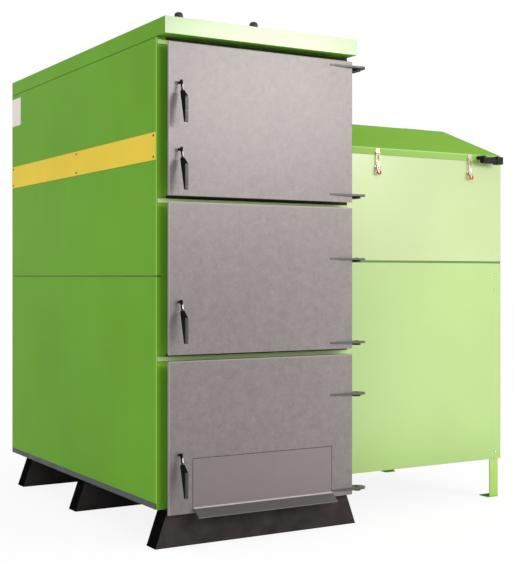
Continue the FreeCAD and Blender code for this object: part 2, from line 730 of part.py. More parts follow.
def make_hinge_pintles():
    """Brackets on the casing under each leaf, each with its upright pin."""
    pintles = []
    for door in LEVERS:
        for end, z in zip(("low", "high"), hinge_heights(door)):
            name = f"{door}_pintle_{end}"
            low = z - S.leaf_gap - S.leaf_plate
            plate = (low, low + S.leaf_plate)
            right = pin_x + S.pintle_radius
            arm = slab(name + "_arm", (right - S.arm_width, right), (pin_y, front), plate)
            knuckle = rod(name + "_knuckle", "z", (pin_x, pin_y, low), S.pintle_radius, S.leaf_plate)
            pin = rod(name + "_pin", "z", (pin_x, pin_y, low), S.pin_radius,
                      S.leaf_plate + S.leaf_gap + S.leaf_plate + S.pin_rise)
            pintles.append(fuse(name, [arm, knuckle, pin]))
    return group("hinge_pintles", pintles)


# Door levers and their keepers
tongue_y = (door_back + S.shaft_in - S.tongue_plate, door_back + S.shaft_in)


def make_tongue(name, z):
    """The latch bar on a shaft's inner end, drooping a little below the level."""
    half = S.tongue_width / 2
    down = sine(S.tongue_droop)
    level = cosine(S.tongue_droop)
    tip_x = lever_x - S.tongue_length * level
    tip_z = z - S.tongue_length * down
    points = [
        (lever_x - half * down, z + half * level), (tip_x - half * down, tip_z + half * level),
        (tip_x + half * down, tip_z - half * level), (lever_x + half * down, z - half * level),
    ]
    return outline_pad(name + "_tongue", "XZ_Plane", points, tongue_y[1], S.tongue_plate)


def make_grip(name, bend):
    """A flat-sided grip on the neck's end, deep at its sloping shoulder and thin at its foot."""
    out = sine(S.lever_lean)
    down = cosine(S.lever_lean)
    seat_y = bend[1] - S.neck_length * out
    seat_z = bend[2] - S.neck_length * down
    front_y = door_front - S.grip_stand
    foot_z = bend[2] - S.grip_drop
    points = [
        (seat_y + S.neck_seat * down, seat_z - S.neck_seat * out),
        (seat_y - S.neck_seat * down, seat_z + S.neck_seat * out),
        (front_y, seat_z - S.grip_shoulder), (front_y, foot_z), (front_y + S.grip_foot, foot_z),
    ]
    body = outline_pad(name + "_grip", "YZ_Plane", points, lever_x - S.grip_width / 2, S.grip_width)
    rounding = body.newObject("PartDesign::Fillet", name + "_grip_rounding")
    rounding.Base = (body.Group[1], ["Face1"])
    rounding.UseAllEdges = True
    bind(rounding, "Radius", S.grip_round)
    return body


def make_handle(name, z):
    """A shaft through the door, with a tongue inside, and a leaning neck with its grip outside."""
    shaft_front = door_front - S.shaft_out
    half_block = S.block_height / 2
    bend = (lever_x, shaft_front + S.shaft_radius, z)
    shaft = rod(name + "_shaft", "y", (lever_x, shaft_front, z), S.shaft_radius, tongue_y[0] - shaft_front)
    block = slab(name + "_block", (lever_x - S.block_width / 2, lever_x + S.block_width / 2),
                 (shaft_front, shaft_front + S.block_depth), (z - half_block, z + half_block))
    neck = lean_down(rod(name + "_neck", "z", bend, S.neck_radius, S.neck_length), bend)
    arm = fuse(name + "_arm", [shaft, block, neck])
    return [group(name + "_lever", [arm, make_tongue(name, z)]), make_grip(name, bend)]


def make_keepers():
    """Hooked keepers on the front frame; each tongue turns up behind its keeper's nose."""
    keepers = []
    right = lever_x - S.keeper_offset
    stand_x = (right - S.keeper_stand, right)
    nose_x = (right - S.keeper_reach, stand_x[0])
    nose_front = frame_front - S.keeper_depth
    nose_y = (nose_front, nose_front + S.keeper_nose)
    for door in LEVERS:
        for name, z in lever_heights(door):
            top = z + S.keeper_rise + S.keeper_height
            keepers.append(slab(f"{name}_keeper_stand", stand_x, (nose_front, frame_front),
                                (z + S.keeper_stand_rise, top)))
            keepers.append(slab(f"{name}_keeper_nose", nose_x, nose_y, (z + S.keeper_rise, top)))
    return group("latch_keepers", keepers)


# Air flap in the lower door
def make_air_flap():
    """A hinged plate flush with the door, with a lip along its foot to lift it by."""
    depth = (door_front, door_front + S.flap_plate)
    plate = slab("flap_plate_solid", (-flap_side, flap_side), depth, (flap_bottom, flap_top))
    edge = door_front - S.lip_out
    points = [
        (door_front, flap_bottom), (edge, flap_bottom - S.lip_down),
        (edge, flap_bottom - S.lip_down + S.lip_plate), (door_front, flap_bottom + S.lip_plate),
    ]
    lip = outline_pad("flap_lip", "YZ_Plane", points, -flap_side, S.flap_width)
    reach = flap_side + S.flap_pin_end
    pin = rod("flap_pin", "x", (-reach, flap_pin_y, flap_pin_z), S.flap_pin_radius - S.running_fit, 2 * reach)
    return fuse("air_flap", [plate, lip, pin])


# Pellet feed
def make_auger_tube():
    start = (S.feed_inner_end, feed_y, S.feed_height)
    length = feed_end - S.feed_inner_end
    tube = pipe("feed_tube", "x", start, S.feed_radius, S.feed_wall, length)
    inlet_x = (hopper_left + S.hopper_sheet + S.feed_inlet, feed_end - S.feed_inlet)
    inlet = slab("feed_inlet_cutter", inlet_x, (feed_y - S.feed_inlet / 2, feed_y + S.feed_inlet / 2),
                 (S.feed_height + S.screw_shaft_radius, S.feed_height + S.feed_radius))
    return cut("auger_tube", tube, [inlet])


def make_feed_auger():
    """A shaft with a helical flight, whose end turns in the gearbox."""
    start = S.feed_inner_end + S.screw_flight
    flight_end = feed_end - S.screw_pitch / 2
    body = doc.addObject("PartDesign::Body", "auger_screw")
    origin = {item.Role: item for item in body.Origin.OriginFeatures}
    circle = body.newObject("Sketcher::SketchObject", "auger_shaft_outline")
    circle.AttachmentSupport = (origin["XY_Plane"], [""])
    circle.MapMode = "FlatFace"
    circle.addGeometry(Part.Circle(Vector(), Vector(0, 0, 1), number(S.screw_shaft_radius)), False)
    circle.addConstraint(Sketcher.Constraint("Coincident", 0, 3, -1, 1))
    rule = circle.addConstraint(Sketcher.Constraint("Radius", 0, float(number(S.screw_shaft_radius))))
    bind(circle, f"Constraints[{rule}]", S.screw_shaft_radius)
    shaft = body.newObject("PartDesign::Pad", "auger_shaft")
    shaft.Profile = circle
    bind(shaft, "Length", feed_end - start)
    section = body.newObject("Sketcher::SketchObject", "auger_flight_outline")
    section.AttachmentSupport = (origin["XZ_Plane"], [""])
    section.MapMode = "FlatFace"
    rim = S.screw_outer_radius
    root = S.screw_shaft_radius - S.screw_root
    low = S.screw_flight
    high = 2 * S.screw_flight
    corners = [(root, low), (rim, low), (rim, high), (root, high)]
    for index, (across, up) in enumerate(corners):
        after = corners[(index + 1) % 4]
        section.addGeometry(Part.LineSegment(Vector(number(across), number(up), 0),
                                             Vector(number(after[0]), number(after[1]), 0)), False)
    for index in range(4):
        section.addConstraint(Sketcher.Constraint("Coincident", index, 2, (index + 1) % 4, 1))
    for index, point in enumerate(corners):
        for kind, size in zip(("DistanceX", "DistanceY"), point):
            rule = section.addConstraint(Sketcher.Constraint(kind, -1, 1, index, 1, float(number(size))))
            bind(section, f"Constraints[{rule}]", size)
    doc.recompute()
    flight = body.newObject("PartDesign::AdditiveHelix", "auger_flight")
    flight.Profile = section
    flight.ReferenceAxis = (section, ["V_Axis"])
    flight.Mode = 0
    bind(flight, "Pitch", S.screw_pitch)
    bind(flight, "Height", flight_end - start)
    place(body, (start, feed_y, S.feed_height), TURN["x"])
    drive = rod("drive_shaft", "x", (flight_end, feed_y, S.feed_height), S.drive_shaft_radius,
                feed_end + S.drive_shaft_length - flight_end)
    return fuse("feed_auger", [body, drive])


def make_auger_motor():
    """The tube's end plate, the gearbox on it and its motor to the side."""
    half = S.gearbox / 2
    axis = (feed_end, feed_y, S.feed_height)
    x = (feed_end + S.end_plate, feed_end + S.end_plate + S.gearbox)
    plate = rod("feed_end_plate", "x", axis, S.feed_radius, S.end_plate)
    case = slab("gearbox_case", x, centred(feed_y, half), centred(S.feed_height, half))
    motor_start = (x[0] + half, feed_y + half, S.feed_height)
    motor = rod("motor_case", "y", motor_start, S.motor_radius, S.motor_length)
    bore = rod("drive_bore", "x", axis, S.drive_shaft_radius + S.running_fit,
               S.drive_shaft_length + S.drive_end_play)
    return cut("auger_motor", fuse("auger_motor_solid", [plate, case, motor]), [bore])


# Hopper
lid_rise_total = S.ridge_height - S.hopper_front_top - S.lid_lip
hopper_slope = lid_rise_total / (S.hopper_front + S.hopper_sheet - S.ridge_reach)
lid_front = hopper_face - S.hopper_sheet
lid_end = -S.ridge_reach - S.lid_barrel_radius - S.lid_side_gap
barrel_z = S.ridge_height - S.lid_barrel_radius
lower_face = hopper_face + S.hopper_step
lower_back = lower_face + S.hopper_sheet


def lid_surface(y):
    """The height of the lid's upper face at a place between the front and the ridge."""
    return S.hopper_front_top + S.lid_lip + (y - lid_front) * hopper_slope


def make_hopper_side(name, x, pierced):
    """A side wall whose top edge follows the sloping lid."""
    low = S.hopper_bottom
    wall_front = hopper_face + S.hopper_sheet
    step = -S.ridge_reach + S.lid_top_gap
    top = S.ridge_height - S.hopper_sheet
    points = [
        (wall_front, low), (hopper_rear, low), (hopper_rear, top), (step, top),
        (step, lid_surface(step) - S.lid_lip), (wall_front, lid_surface(wall_front) - S.lid_lip),
    ]
    sheet = outline_pad(name + "_sheet" if pierced else name, "YZ_Plane", points, x[0], x[1] - x[0])
    return cut(name, sheet, [feed_hole(name + "_feed_hole", x)]) if pierced else sheet


def make_hopper_shell():
    """The hopper's side walls, rear wall, fixed top and the two slopes of its funnel."""
    t = S.hopper_sheet
    left_x = (hopper_left, hopper_left + t)
    right_x = (hopper_right - t, hopper_right)
    inner_x = (left_x[1], right_x[0])
    top_y = (-S.ridge_reach + S.lid_top_gap, hopper_rear)
    funnel = []
    mouth = S.funnel_mouth / 2
    for where, wall, sign in (("front", hopper_face + t, -1), ("rear", hopper_rear - t, 1)):
        end = feed_y + sign * mouth
        points = [(wall, S.funnel_top), (wall, S.funnel_top + 2 * t), (end, S.funnel_end + 2 * t),
                  (end, S.funnel_end)]
        funnel.append(outline_pad(f"funnel_{where}", "YZ_Plane", points, inner_x[0], inner_x[1] - inner_x[0]))
    return group("hopper_shell", [
        make_hopper_side("hopper_wall_left", left_x, True),
        make_hopper_side("hopper_wall_right", right_x, False),
        slab("hopper_wall_rear", inner_x, (hopper_rear - t, hopper_rear),
             (S.hopper_bottom, S.ridge_height - t)),
        slab("hopper_top_sheet", (hopper_left, hopper_right), top_y, (S.ridge_height - t, S.ridge_height)),
        *funnel,
    ])


def make_hopper_fronts():
    """Two front panels. The lower one stands a little further back, on a tab folded from the upper one."""
    t = S.hopper_sheet
    inner_x = (hopper_left + t, hopper_right - t)
    lower_top = S.hopper_seam - S.hopper_seam_gap
    lower = slab("hopper_lower_front", inner_x, (lower_face, lower_back), (S.hopper_bottom, lower_top))
    upper = fuse("hopper_upper_front", [
        slab("upper_front_sheet", (hopper_left, hopper_right), (hopper_face, hopper_face + t),
             (S.hopper_seam, S.hopper_front_top)),
        slab("upper_front_fold", inner_x, (hopper_face, lower_back + t), (S.hopper_seam, S.hopper_seam + t)),
        slab("upper_front_tab", inner_x, (lower_back, lower_back + t),
             (lower_top - S.hopper_seam_tab, S.hopper_seam + t)),
    ])
    return [lower, upper]


def make_hopper_legs():
    """Four angle legs inside the hopper, each on a foot plate; the left ones stand against its wall."""
    legs = []
    foot_z = (0, S.leg_plate)
    post_z = (S.leg_plate, S.leg_top)
    left = (hopper_left + S.hopper_sheet, 1)
    right = (hopper_right - S.leg_inset, -1)
    rear_wall = (hopper_rear - S.hopper_sheet, -1)
    corners = {
        "leg_front_left": (left, (lower_back + S.left_leg_set_back, 1)),
        "leg_front_right": (right, (lower_back, 1)),
        "leg_rear_left": (left, rear_wall),
        "leg_rear_right": (right, rear_wall),
    }

    def span(start, sign, length):
        return (start, start + length) if sign > 0 else (start - length, start)

    for name, ((x, inward), (y, back)) in corners.items():
        legs.append(fuse(name, [
            slab(name + "_face", span(x, inward, S.leg_width), span(y, back, S.leg_plate), post_z),
            slab(name + "_web", span(x, inward, S.leg_plate), span(y, back, S.leg_width), post_z),
            slab(name + "_foot", span(x, inward, S.leg_foot), span(y, back, S.leg_foot), foot_z),
        ]))
    return group("hopper_legs", legs)


def hinge_places():
    """The left end of each of the lid's two hinges."""
    for name, share in (("left", 0.2), ("right", 0.8)):
        yield name, hopper_left + S.hopper_width * share - S.lid_knuckle


def make_lid():
    """A sloping tray that rests on the hopper's walls, with a knuckle for each hinge."""
    t = S.hopper_sheet
    gap = S.lid_gap
    rim = S.lid_lip - gap
    corners = [(lid_front, lid_surface(lid_front)), (lid_end, lid_surface(lid_end))]
    outside = corners + [(y, z - rim) for y, z in reversed(corners)]
    hollow_corners = [(lid_front + t, lid_surface(lid_front + t) - t), (lid_end, lid_surface(lid_end) - t)]
    hollow = hollow_corners + [(y, z - rim) for y, z in reversed(hollow_corners)]
    solid = outline_pad("lid_outside", "YZ_Plane", outside, hopper_left, S.hopper_width)
    cavity = outline_pad("lid_hollow", "YZ_Plane", hollow, hopper_left + t, S.hopper_width - 2 * t)
    pieces = [cut("lid_tray", solid, [cavity])]
    bores = []
    for name, x in hinge_places():
        start = x + S.lid_knuckle + S.lid_side_gap
        centre = (start, -S.ridge_reach, barrel_z)
        pieces.append(rod(f"lid_knuckle_{name}", "x", centre, S.lid_barrel_radius, S.lid_knuckle))
        pieces.append(slab(f"lid_tab_{name}", (start, start + S.lid_knuckle),
                           (lid_end - S.lid_barrel_radius, -S.ridge_reach),
                           (barrel_z - S.lid_barrel_radius, barrel_z)))
        bores.append(rod(f"lid_bore_{name}", "x", centre, S.lid_pin_radius + S.running_fit, S.lid_knuckle))
    return cut("hopper_lid", fuse("lid_solid", pieces), bores)


def make_lid_hinge():
    """The fixed knuckles under the rear top, each with the pin that the lid turns on."""
    hinges = []
    under = S.ridge_height - S.hopper_sheet
    for name, x in hinge_places():
        centre = (x, -S.ridge_reach, barrel_z)
        hinges.append(fuse(f"lid_hinge_{name}", [
            rod(f"hinge_knuckle_{name}", "x", centre, S.lid_barrel_radius, S.lid_knuckle),
            rod(f"hinge_pin_{name}", "x", centre, S.lid_pin_radius, 2 * S.lid_knuckle),
            slab(f"hinge_tab_{name}", (x, x + S.lid_knuckle),
                 (-S.ridge_reach, -S.ridge_reach + S.lid_top_gap + S.lid_hinge_tab),
                 (under - S.lid_pin_radius, under)),
        ]))
    return group("lid_hinge", hinges)


def make_lid_handle():
    """A round bar in front of the lid's lower edge, on two posts, with a block at its outer end."""
    right = hopper_right - S.handle_right_inset
    left = right - S.handle_length
    bar_y = lid_front - S.handle_stand
    z = S.hopper_front_top + S.handle_rise
    post_z = S.hopper_front_top + S.lid_lip / 2
    half = S.handle_block / 2
    bar = rod("handle_bar", "x", (left, bar_y, z), S.handle_radius, S.handle_length)
    block = slab("handle_end_block", (right - S.handle_block, right), (bar_y - half, bar_y + half),
                 (z - half, z + half))
    posts = [
        rod(f"handle_post_{name}", "y", (x, bar_y, post_z), S.handle_post_radius, S.handle_stand)
        for name, x in (("left", left + S.handle_radius), ("right", right - half))
    ]
    return fuse("lid_handle", [bar, block] + posts)


# Toggle latches between the hopper and its lid
LATCHES = {"left": hopper_left + S.latch_left_inset, "right": hopper_right - S.latch_right_inset}
latch_pin_y = hopper_face - S.latch_pin_stand
latch_pin_z = S.hopper_front_top - S.latch_pin_height
bail_pin_z = latch_pin_z - S.bail_offset
bail_bar_z = bail_pin_z + S.bail_rise


def make_latch_plates():
    """Base plates on the hopper's front, each with two ears and the lever's pin."""
    plates = []
    bottom = S.hopper_front_top - S.latch_drop
    ear_out = S.lever_width / 2
    ear_in = ear_out - S.latch_ear
    for hand, x in LATCHES.items():
        face = hopper_face - S.latch_plate
        plates.append(slab(f"latch_plate_{hand}", centred(x, S.latch_width / 2), (face, hopper_face),
                           (bottom, bottom + S.latch_height)))
        for end, span in (("left", (x - ear_out, x - ear_in)), ("right", (x + ear_in, x + ear_out))):
            plates.append(slab(f"latch_ear_{hand}_{end}", span, (latch_pin_y - S.latch_pin_radius, face),
                               centred(latch_pin_z, S.latch_pin_radius + S.bail_clearance)))
        plates.append(rod(f"latch_pin_{hand}", "x", (x - ear_in, latch_pin_y, latch_pin_z),
                          S.latch_pin_radius, 2 * ear_in))
    return group("latch_plates", plates)


def make_latch_lever(hand, x):
    """A lever on the base's pin; its cheeks carry the bail and its tail is the grip."""
    half = S.lever_width / 2
    core = half - S.latch_ear - S.bail_clearance
    cheek_top = bail_pin_z + S.latch_pin_radius
    front_face = latch_pin_y - S.lever_barrel_radius
    barrel = rod(f"lever_barrel_{hand}", "x", (x - core, latch_pin_y, latch_pin_z),
                 S.lever_barrel_radius, 2 * core)
    strip = slab(f"lever_strip_{hand}", centred(x, core), (front_face, latch_pin_y),
                 (bail_pin_z, latch_pin_z))
    cheek = slab(f"lever_cheek_{hand}", centred(x, half), (front_face, latch_pin_y + S.lever_plate),
                 (bail_pin_z - 2 * S.latch_pin_radius, cheek_top))
    tail = slab(f"lever_tail_{hand}", centred(x, half), (front_face, front_face + S.lever_plate),
                (latch_pin_z - S.lever_length, cheek_top))
    reach = half + S.bail_leg + 2 * S.bail_clearance
    stubs = rod(f"lever_stubs_{hand}", "x", (x - reach, latch_pin_y, bail_pin_z),
                S.latch_pin_radius - S.running_fit, 2 * reach)
    bore = rod(f"lever_bore_{hand}", "x", (x - core, latch_pin_y, latch_pin_z),
               S.latch_pin_radius + S.running_fit, 2 * core)
    solid = fuse(f"lever_solid_{hand}", [barrel, strip, cheek, tail, stubs])
    return cut(f"latch_lever_{hand}", solid, [bore])


def make_latch_bail(hand, x):
    """A loop on the lever's stubs whose bar comes under the catch's nose."""
    inner = S.lever_width / 2 + S.bail_clearance
    outer = inner + S.bail_leg
    depth = centred(latch_pin_y, S.latch_pin_radius + S.bail_clearance)
    height = (bail_pin_z - 2 * S.latch_pin_radius, bail_bar_z + S.bail_radius)
    pieces = [rod(f"bail_bar_{hand}", "x", (x - inner, latch_pin_y, bail_bar_z), S.bail_radius, 2 * inner)]
    for end, span in (("left", (x - outer, x - inner)), ("right", (x + inner, x + outer))):
        leg = slab(f"bail_leg_{hand}_{end}", span, depth, height)
        bore = rod(f"bail_bore_{hand}_{end}", "x", (span[0], latch_pin_y, bail_pin_z),
                   S.latch_pin_radius, S.bail_leg)
        pieces.append(cut(f"bail_arm_{hand}_{end}", leg, [bore]))
    return group(f"latch_bail_{hand}", pieces)


def make_lid_catches():
    """Small plates on the lid's lip, each with a nose over its bail."""
    catches = []
    nose_z = bail_bar_z + S.bail_radius + S.catch_gap
    top = S.hopper_front_top + S.lid_lip - S.hopper_sheet
    for hand, x in LATCHES.items():
        width = centred(x, S.catch_width / 2)
        plate = slab(f"catch_plate_{hand}", width, (lid_front - S.latch_plate, lid_front), (nose_z, top))
        nose = slab(f"catch_nose_{hand}", width, (lid_front - S.catch_nose, lid_front),
                    (nose_z, nose_z + S.catch_plate))
        catches.append(fuse(f"catch_{hand}", [plate, nose]))
    return group("lid_catches", catches)


# The whole assembly
nodes = [make_feet(), make_base_frame(), make_front_frame(), make_inner_shell(), make_outer_shell()]
nodes += [make_insulation(), *make_side_panels(), make_rear_panel(), make_top_cover(), *make_side_trim()]
nodes += [make_screws(), make_riser_caps(), make_water_connections(), make_flue_spigot()]
nodes += [make_hinge_pintles(), make_keepers(), make_grate(), make_ash_pan(), make_fire_tubes()]
nodes += [make_auger_tube(), make_auger_motor(), make_feed_auger()]
nodes += [make_hopper_shell(), *make_hopper_fronts(), make_hopper_legs(), make_lid_hinge()]
nodes += [make_latch_plates(), make_lid(), make_lid_handle(), make_lid_catches()]
for hand, latch_x in LATCHES.items():
    nodes += [make_latch_lever(hand, latch_x), make_latch_bail(hand, latch_x)]
for door in LEVERS:
    nodes += [make_door_panel(door), make_door_lining(door), make_door_seal(door), make_hinge_leaves(door)]
    for handle, lever_z in lever_heights(door):
        nodes += make_handle(handle, lever_z)
nodes.append(make_air_flap())
doc.recompute()

failed = [item.Label for item in doc.Objects if {"Invalid", "Error"} & set(item.State)]
failed += [item.Label for item in nodes if item.Shape.isNull() or not item.Shape.isValid()]
if failed:
    raise RuntimeError("These did not build: " + ", ".join(failed))

os.makedirs("parts", exist_ok=True)
for item in nodes:
    item.Shape.exportStep(f"parts/{item.Label}.step")
print(f"{len(nodes)} sub-parts written")
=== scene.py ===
import json
import math

import bmesh
import bpy
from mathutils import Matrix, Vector


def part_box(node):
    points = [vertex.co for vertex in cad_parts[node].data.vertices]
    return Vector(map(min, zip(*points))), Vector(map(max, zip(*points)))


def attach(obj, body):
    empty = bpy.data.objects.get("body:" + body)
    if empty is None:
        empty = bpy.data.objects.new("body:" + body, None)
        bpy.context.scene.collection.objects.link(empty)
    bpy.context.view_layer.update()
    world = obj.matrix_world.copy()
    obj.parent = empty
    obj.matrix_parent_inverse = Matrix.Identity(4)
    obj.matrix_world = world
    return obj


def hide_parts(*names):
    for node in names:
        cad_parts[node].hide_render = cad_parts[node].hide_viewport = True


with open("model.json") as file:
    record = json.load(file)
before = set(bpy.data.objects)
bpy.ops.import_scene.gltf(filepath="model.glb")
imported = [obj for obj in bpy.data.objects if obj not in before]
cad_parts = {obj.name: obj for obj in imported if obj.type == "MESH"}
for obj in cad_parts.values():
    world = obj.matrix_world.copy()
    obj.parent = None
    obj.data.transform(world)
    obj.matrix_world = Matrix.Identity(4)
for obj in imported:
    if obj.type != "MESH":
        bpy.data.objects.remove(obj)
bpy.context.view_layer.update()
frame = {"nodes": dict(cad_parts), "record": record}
nodes = frame["nodes"]

# Pieces that come in sets
HANDS = ("left", "right")
DOORS = ("lower", "middle", "upper")
HANDLES = ("lower_handle", "middle_handle", "upper_handle_low", "upper_handle_high")

# Where the photograph was taken from, in metres
CAMERA_PLACE = (-2.329, -4.757, 1.0325)
VIEW_DIRECTION = (0.509, 0.861, 0.0)
PHOTO_HEIGHT = 563
FOCAL_PIXELS = 1144.5
HORIZON_ABOVE_CENTRE = 5.5
SENSOR = 36.0

# Paint and metal colours, linear
CASING_GREEN = (0.146, 0.360, 0.027)
# Painted highlight: a pale green along the side panels' front fold, where the bend would catch the light
FOLD_HIGHLIGHT_GREEN = (0.290, 0.580, 0.080)
# Painted shade: a dark green under the cover's edge, along the seam between the side panels and round the
# foot of the hopper's screw heads
SHADE_GREEN = (0.061, 0.151, 0.011)
# Painted sheen: a greyer copy of the casing green for the cover's nose, so that the lit nose reads pale under
# its clear coat
NOSE_SHEEN_GREEN = (0.145, 0.268, 0.058)
HOPPER_GREEN = (0.192, 0.332, 0.034)
# Painted sheen: a paler, greyer copy of the hopper green for the upper front panel, standing in for the
# stronger sheen at the top
UPPER_SHEEN_GREEN = (0.247, 0.350, 0.098)
# Painted shade: a dark green in the seam between the hopper's two front panels
HOPPER_SEAM_SHADE = (0.070, 0.170, 0.010)
LEG_GREEN = (0.235, 0.395, 0.048)
LID_GREEN = (0.205, 0.405, 0.058)
# Painted sheen: a paler, greyer copy of the lid green for the lid's front lip
LIP_SHEEN_GREEN = (0.222, 0.368, 0.092)
# Painted highlight: a pale line along the top edge of the lid's lip
LIP_EDGE_HIGHLIGHT = (0.300, 0.485, 0.150)
BAR_PALE = (0.430, 0.580, 0.260)
DOOR_GREY = (0.112, 0.091, 0.091)
# Painted highlight: a paler grey along the doors' left edge and along the top edges of the lower two doors
DOOR_EDGE_HIGHLIGHT = (0.185, 0.155, 0.150)
# Painted highlight: a pale line along the flap's fold
FLAP_FOLD_HIGHLIGHT = (0.430, 0.380, 0.380)
# Painted shade: a darker grey on the flap's lip
FLAP_LIP_SHADE = (0.045, 0.040, 0.041)
BASE_DARK = (0.038, 0.033, 0.032)
STRIP_GREY = (0.062, 0.066, 0.066)
BAND_YELLOW = (0.830, 0.590, 0.060)
PLATE_PALE = (0.830, 0.740, 0.680)
BLACK = (0.010, 0.010, 0.011)
GRIP_SIDE = (0.005, 0.004, 0.004)
# Painted light: a paler black for the grips' faces that look forward
GRIP_FRONT_LIGHT = (0.014, 0.013, 0.012)
GRIP_RED = (0.480, 0.012, 0.010)
ZINC = (0.500, 0.455, 0.350)
PALE_ZINC = (0.690, 0.660, 0.500)
SCREW_DARK = (0.070, 0.045, 0.025)
SCREW_PALE = (0.800, 0.820, 0.740)
HINGE_GREY = (0.030, 0.030, 0.030)
BOILER_STEEL = (0.170, 0.160, 0.150)
GRATE_IRON = (0.060, 0.056, 0.052)
LINING = (0.560, 0.480, 0.370)
WOOL = (0.560, 0.500, 0.300)
ROPE = (0.520, 0.490, 0.420)
MOTOR_GREY = (0.110, 0.125, 0.150)

# Finishes
COAT_ROUGHNESS = 0.28
COAT_IOR = 1.8
DOOR_ROUGHNESS = 0.40
DOOR_GLOSS = 1.0
# Specular level of the grips' faces that look forward
FRONT_FACE_GLOSS = 0.56
END_SHADE = 0.12
BEVEL_SAMPLES = 6
BAND_SOFTNESS = 0.0006

# Where a noise is low and high, and how far two normals agree on an edge and beside it
NOISE_LOW = 0.30
NOISE_HIGH = 0.70
ON_EDGE = 0.80
BESIDE_EDGE = 0.985

# A coordinate beyond every piece, the angle of a sharp edge, the reach of a weld, and a steep direction
FAR = 9.0
SHARP_ANGLE = 40.0
WELD = 1e-6
STEEP = 0.9

# The factor and the two colours among a Mix node's inputs, and its colour among the outputs
MIX_INPUTS = (0, 6, 7)
MIX_OUTPUT = 2


# Node helpers
def fill_socket(tree, socket, value):
    """Link a socket to another one, or give it a plain value."""
    if isinstance(value, bpy.types.NodeSocket):
        tree.links.new(value, socket)
    else:
        socket.default_value = value


def add(tree, kind, **inputs):
    """A shader node with its inputs set by name; a socket given as a value is linked."""
    node = tree.nodes.new(kind)
    for name, value in inputs.items():
        fill_socket(tree, node.inputs[name.replace("_", " ")], value)
    return node


def ramp(tree, factor, stops):
    """A colour ramp through (place, colour) stops, read as a grey value or a colour."""
    node = tree.nodes.new("ShaderNodeValToRGB")
    tree.links.new(factor, node.inputs["Fac"])
    elements = node.color_ramp.elements
    while len(elements) < len(stops):
        elements.new(0.5)
    for element, (place, colour) in zip(elements, stops):
        element.position = place
        element.color = (*colour, 1.0) if isinstance(colour, tuple) else (colour, colour, colour, 1.0)
    return node.outputs["Color"]


def mix(tree, factor, first, second, blend="MIX"):
    """A colour mix; each side is a colour or a socket."""
    node = tree.nodes.new("ShaderNodeMix")
    node.data_type = "RGBA"
    node.blend_type = blend
    for index, value in zip(MIX_INPUTS, (factor, first, second)):
        fill_socket(tree, node.inputs[index], (*value, 1.0) if isinstance(value, tuple) else value)
    return node.outputs[MIX_OUTPUT]


def arithmetic(tree, operation, first, second):
    """A Math node on a grey value and a number or another grey value."""
    node = tree.nodes.new("ShaderNodeMath")
    node.operation = operation
    fill_socket(tree, node.inputs[0], first)
    fill_socket(tree, node.inputs[1], second)
    return node.outputs[0]


def times(tree, value, amount):
    """A grey value times a number or another grey value."""
    return arithmetic(tree, "MULTIPLY", value, amount)


def noise(tree, place, scale, detail=4.0, roughness=0.55):
    """A cloudy noise over the piece's own coordinates."""
    node = add(tree, "ShaderNodeTexNoise", Vector=place, Scale=scale, Detail=detail, Roughness=roughness)
    return node.outputs["Fac"]


def scaled(colour, amount):
    """A colour times an amount, kept within 1."""
    return tuple(min(1.0, channel * amount) for channel in colour)


def part_of(tree, vector, axis):
    """One coordinate of a vector."""
    return add(tree, "ShaderNodeSeparateXYZ", Vector=vector).outputs[axis]


def tones(tree, factor, colour, dark, pale, end=NOISE_HIGH):
    """A colour that drifts between a darker and a paler share of itself."""
    return ramp(tree, factor, [(NOISE_LOW, scaled(colour, dark)), (end, scaled(colour, pale))])


def rising(tree, factor, start, end, amount=1.0):
    """A mask that grows from nothing to an amount between two values of its factor."""
    return ramp(tree, factor, [(start, 0.0), (end, amount)])


def uneven(tree, factor, roughness, less, more):
    """A roughness that differs a little from place to place."""
    return ramp(tree, factor, [(NOISE_LOW, roughness - less), (NOISE_HIGH, roughness + more)])


def start_material(name, roughness, metallic=0.0):
    """A new material with its tree, its shader and the piece's own coordinates."""
    material = bpy.data.materials.new(name)
    material.use_nodes = True
    tree = material.node_tree
    shader = tree.nodes["Principled BSDF"]
    shader.inputs["Roughness"].default_value = roughness
    shader.inputs["Metallic"].default_value = metallic
    place = tree.nodes.new("ShaderNodeTexCoord").outputs["Object"]
    return material, tree, shader, place


def edge_mask(tree, radius):
    """Bright where two faces meet at an edge, with the softened normal that shows it."""
    bevel = tree.nodes.new("ShaderNodeBevel")
    bevel.samples = BEVEL_SAMPLES
    bevel.inputs["Radius"].default_value = radius
    shape = tree.nodes.new("ShaderNodeNewGeometry")
    dot = tree.nodes.new("ShaderNodeVectorMath")
    dot.operation = "DOT_PRODUCT"
    tree.links.new(bevel.outputs["Normal"], dot.inputs[0])
    tree.links.new(shape.outputs["Normal"], dot.inputs[1])
    edges = ramp(tree, dot.outputs["Value"], [(ON_EDGE, 1.0), (BESIDE_EDGE, 0.0)])
    return edges, bevel.outputs["Normal"]


def wear_and_highlight_edges(tree, edges, painted, colour, share, lift):
    """Let a paler tone of the colour show along the edges, partly as wear and partly as a painted highlight.
    """
    return mix(tree, times(tree, edges, share), painted, scaled(colour, lift))


def span_mask(tree, place, axis, low, high):
    """1 where a coordinate lies between two values, fading out over a soft width at either end."""
    along = part_of(tree, place, axis)
    rise = add(tree, "ShaderNodeMapRange", Value=along, From_Min=low - BAND_SOFTNESS, From_Max=low)
    fall = add(tree, "ShaderNodeMapRange", Value=along, From_Min=high + BAND_SOFTNESS, From_Max=high)
    return times(tree, rise.outputs[0], fall.outputs[0])


def paint_bands(tree, place, painted, bands):
    """Lay a colour over each span of one axis."""
    for span, colour in bands:
        painted = mix(tree, span_mask(tree, place, *span), painted, colour)
    return painted


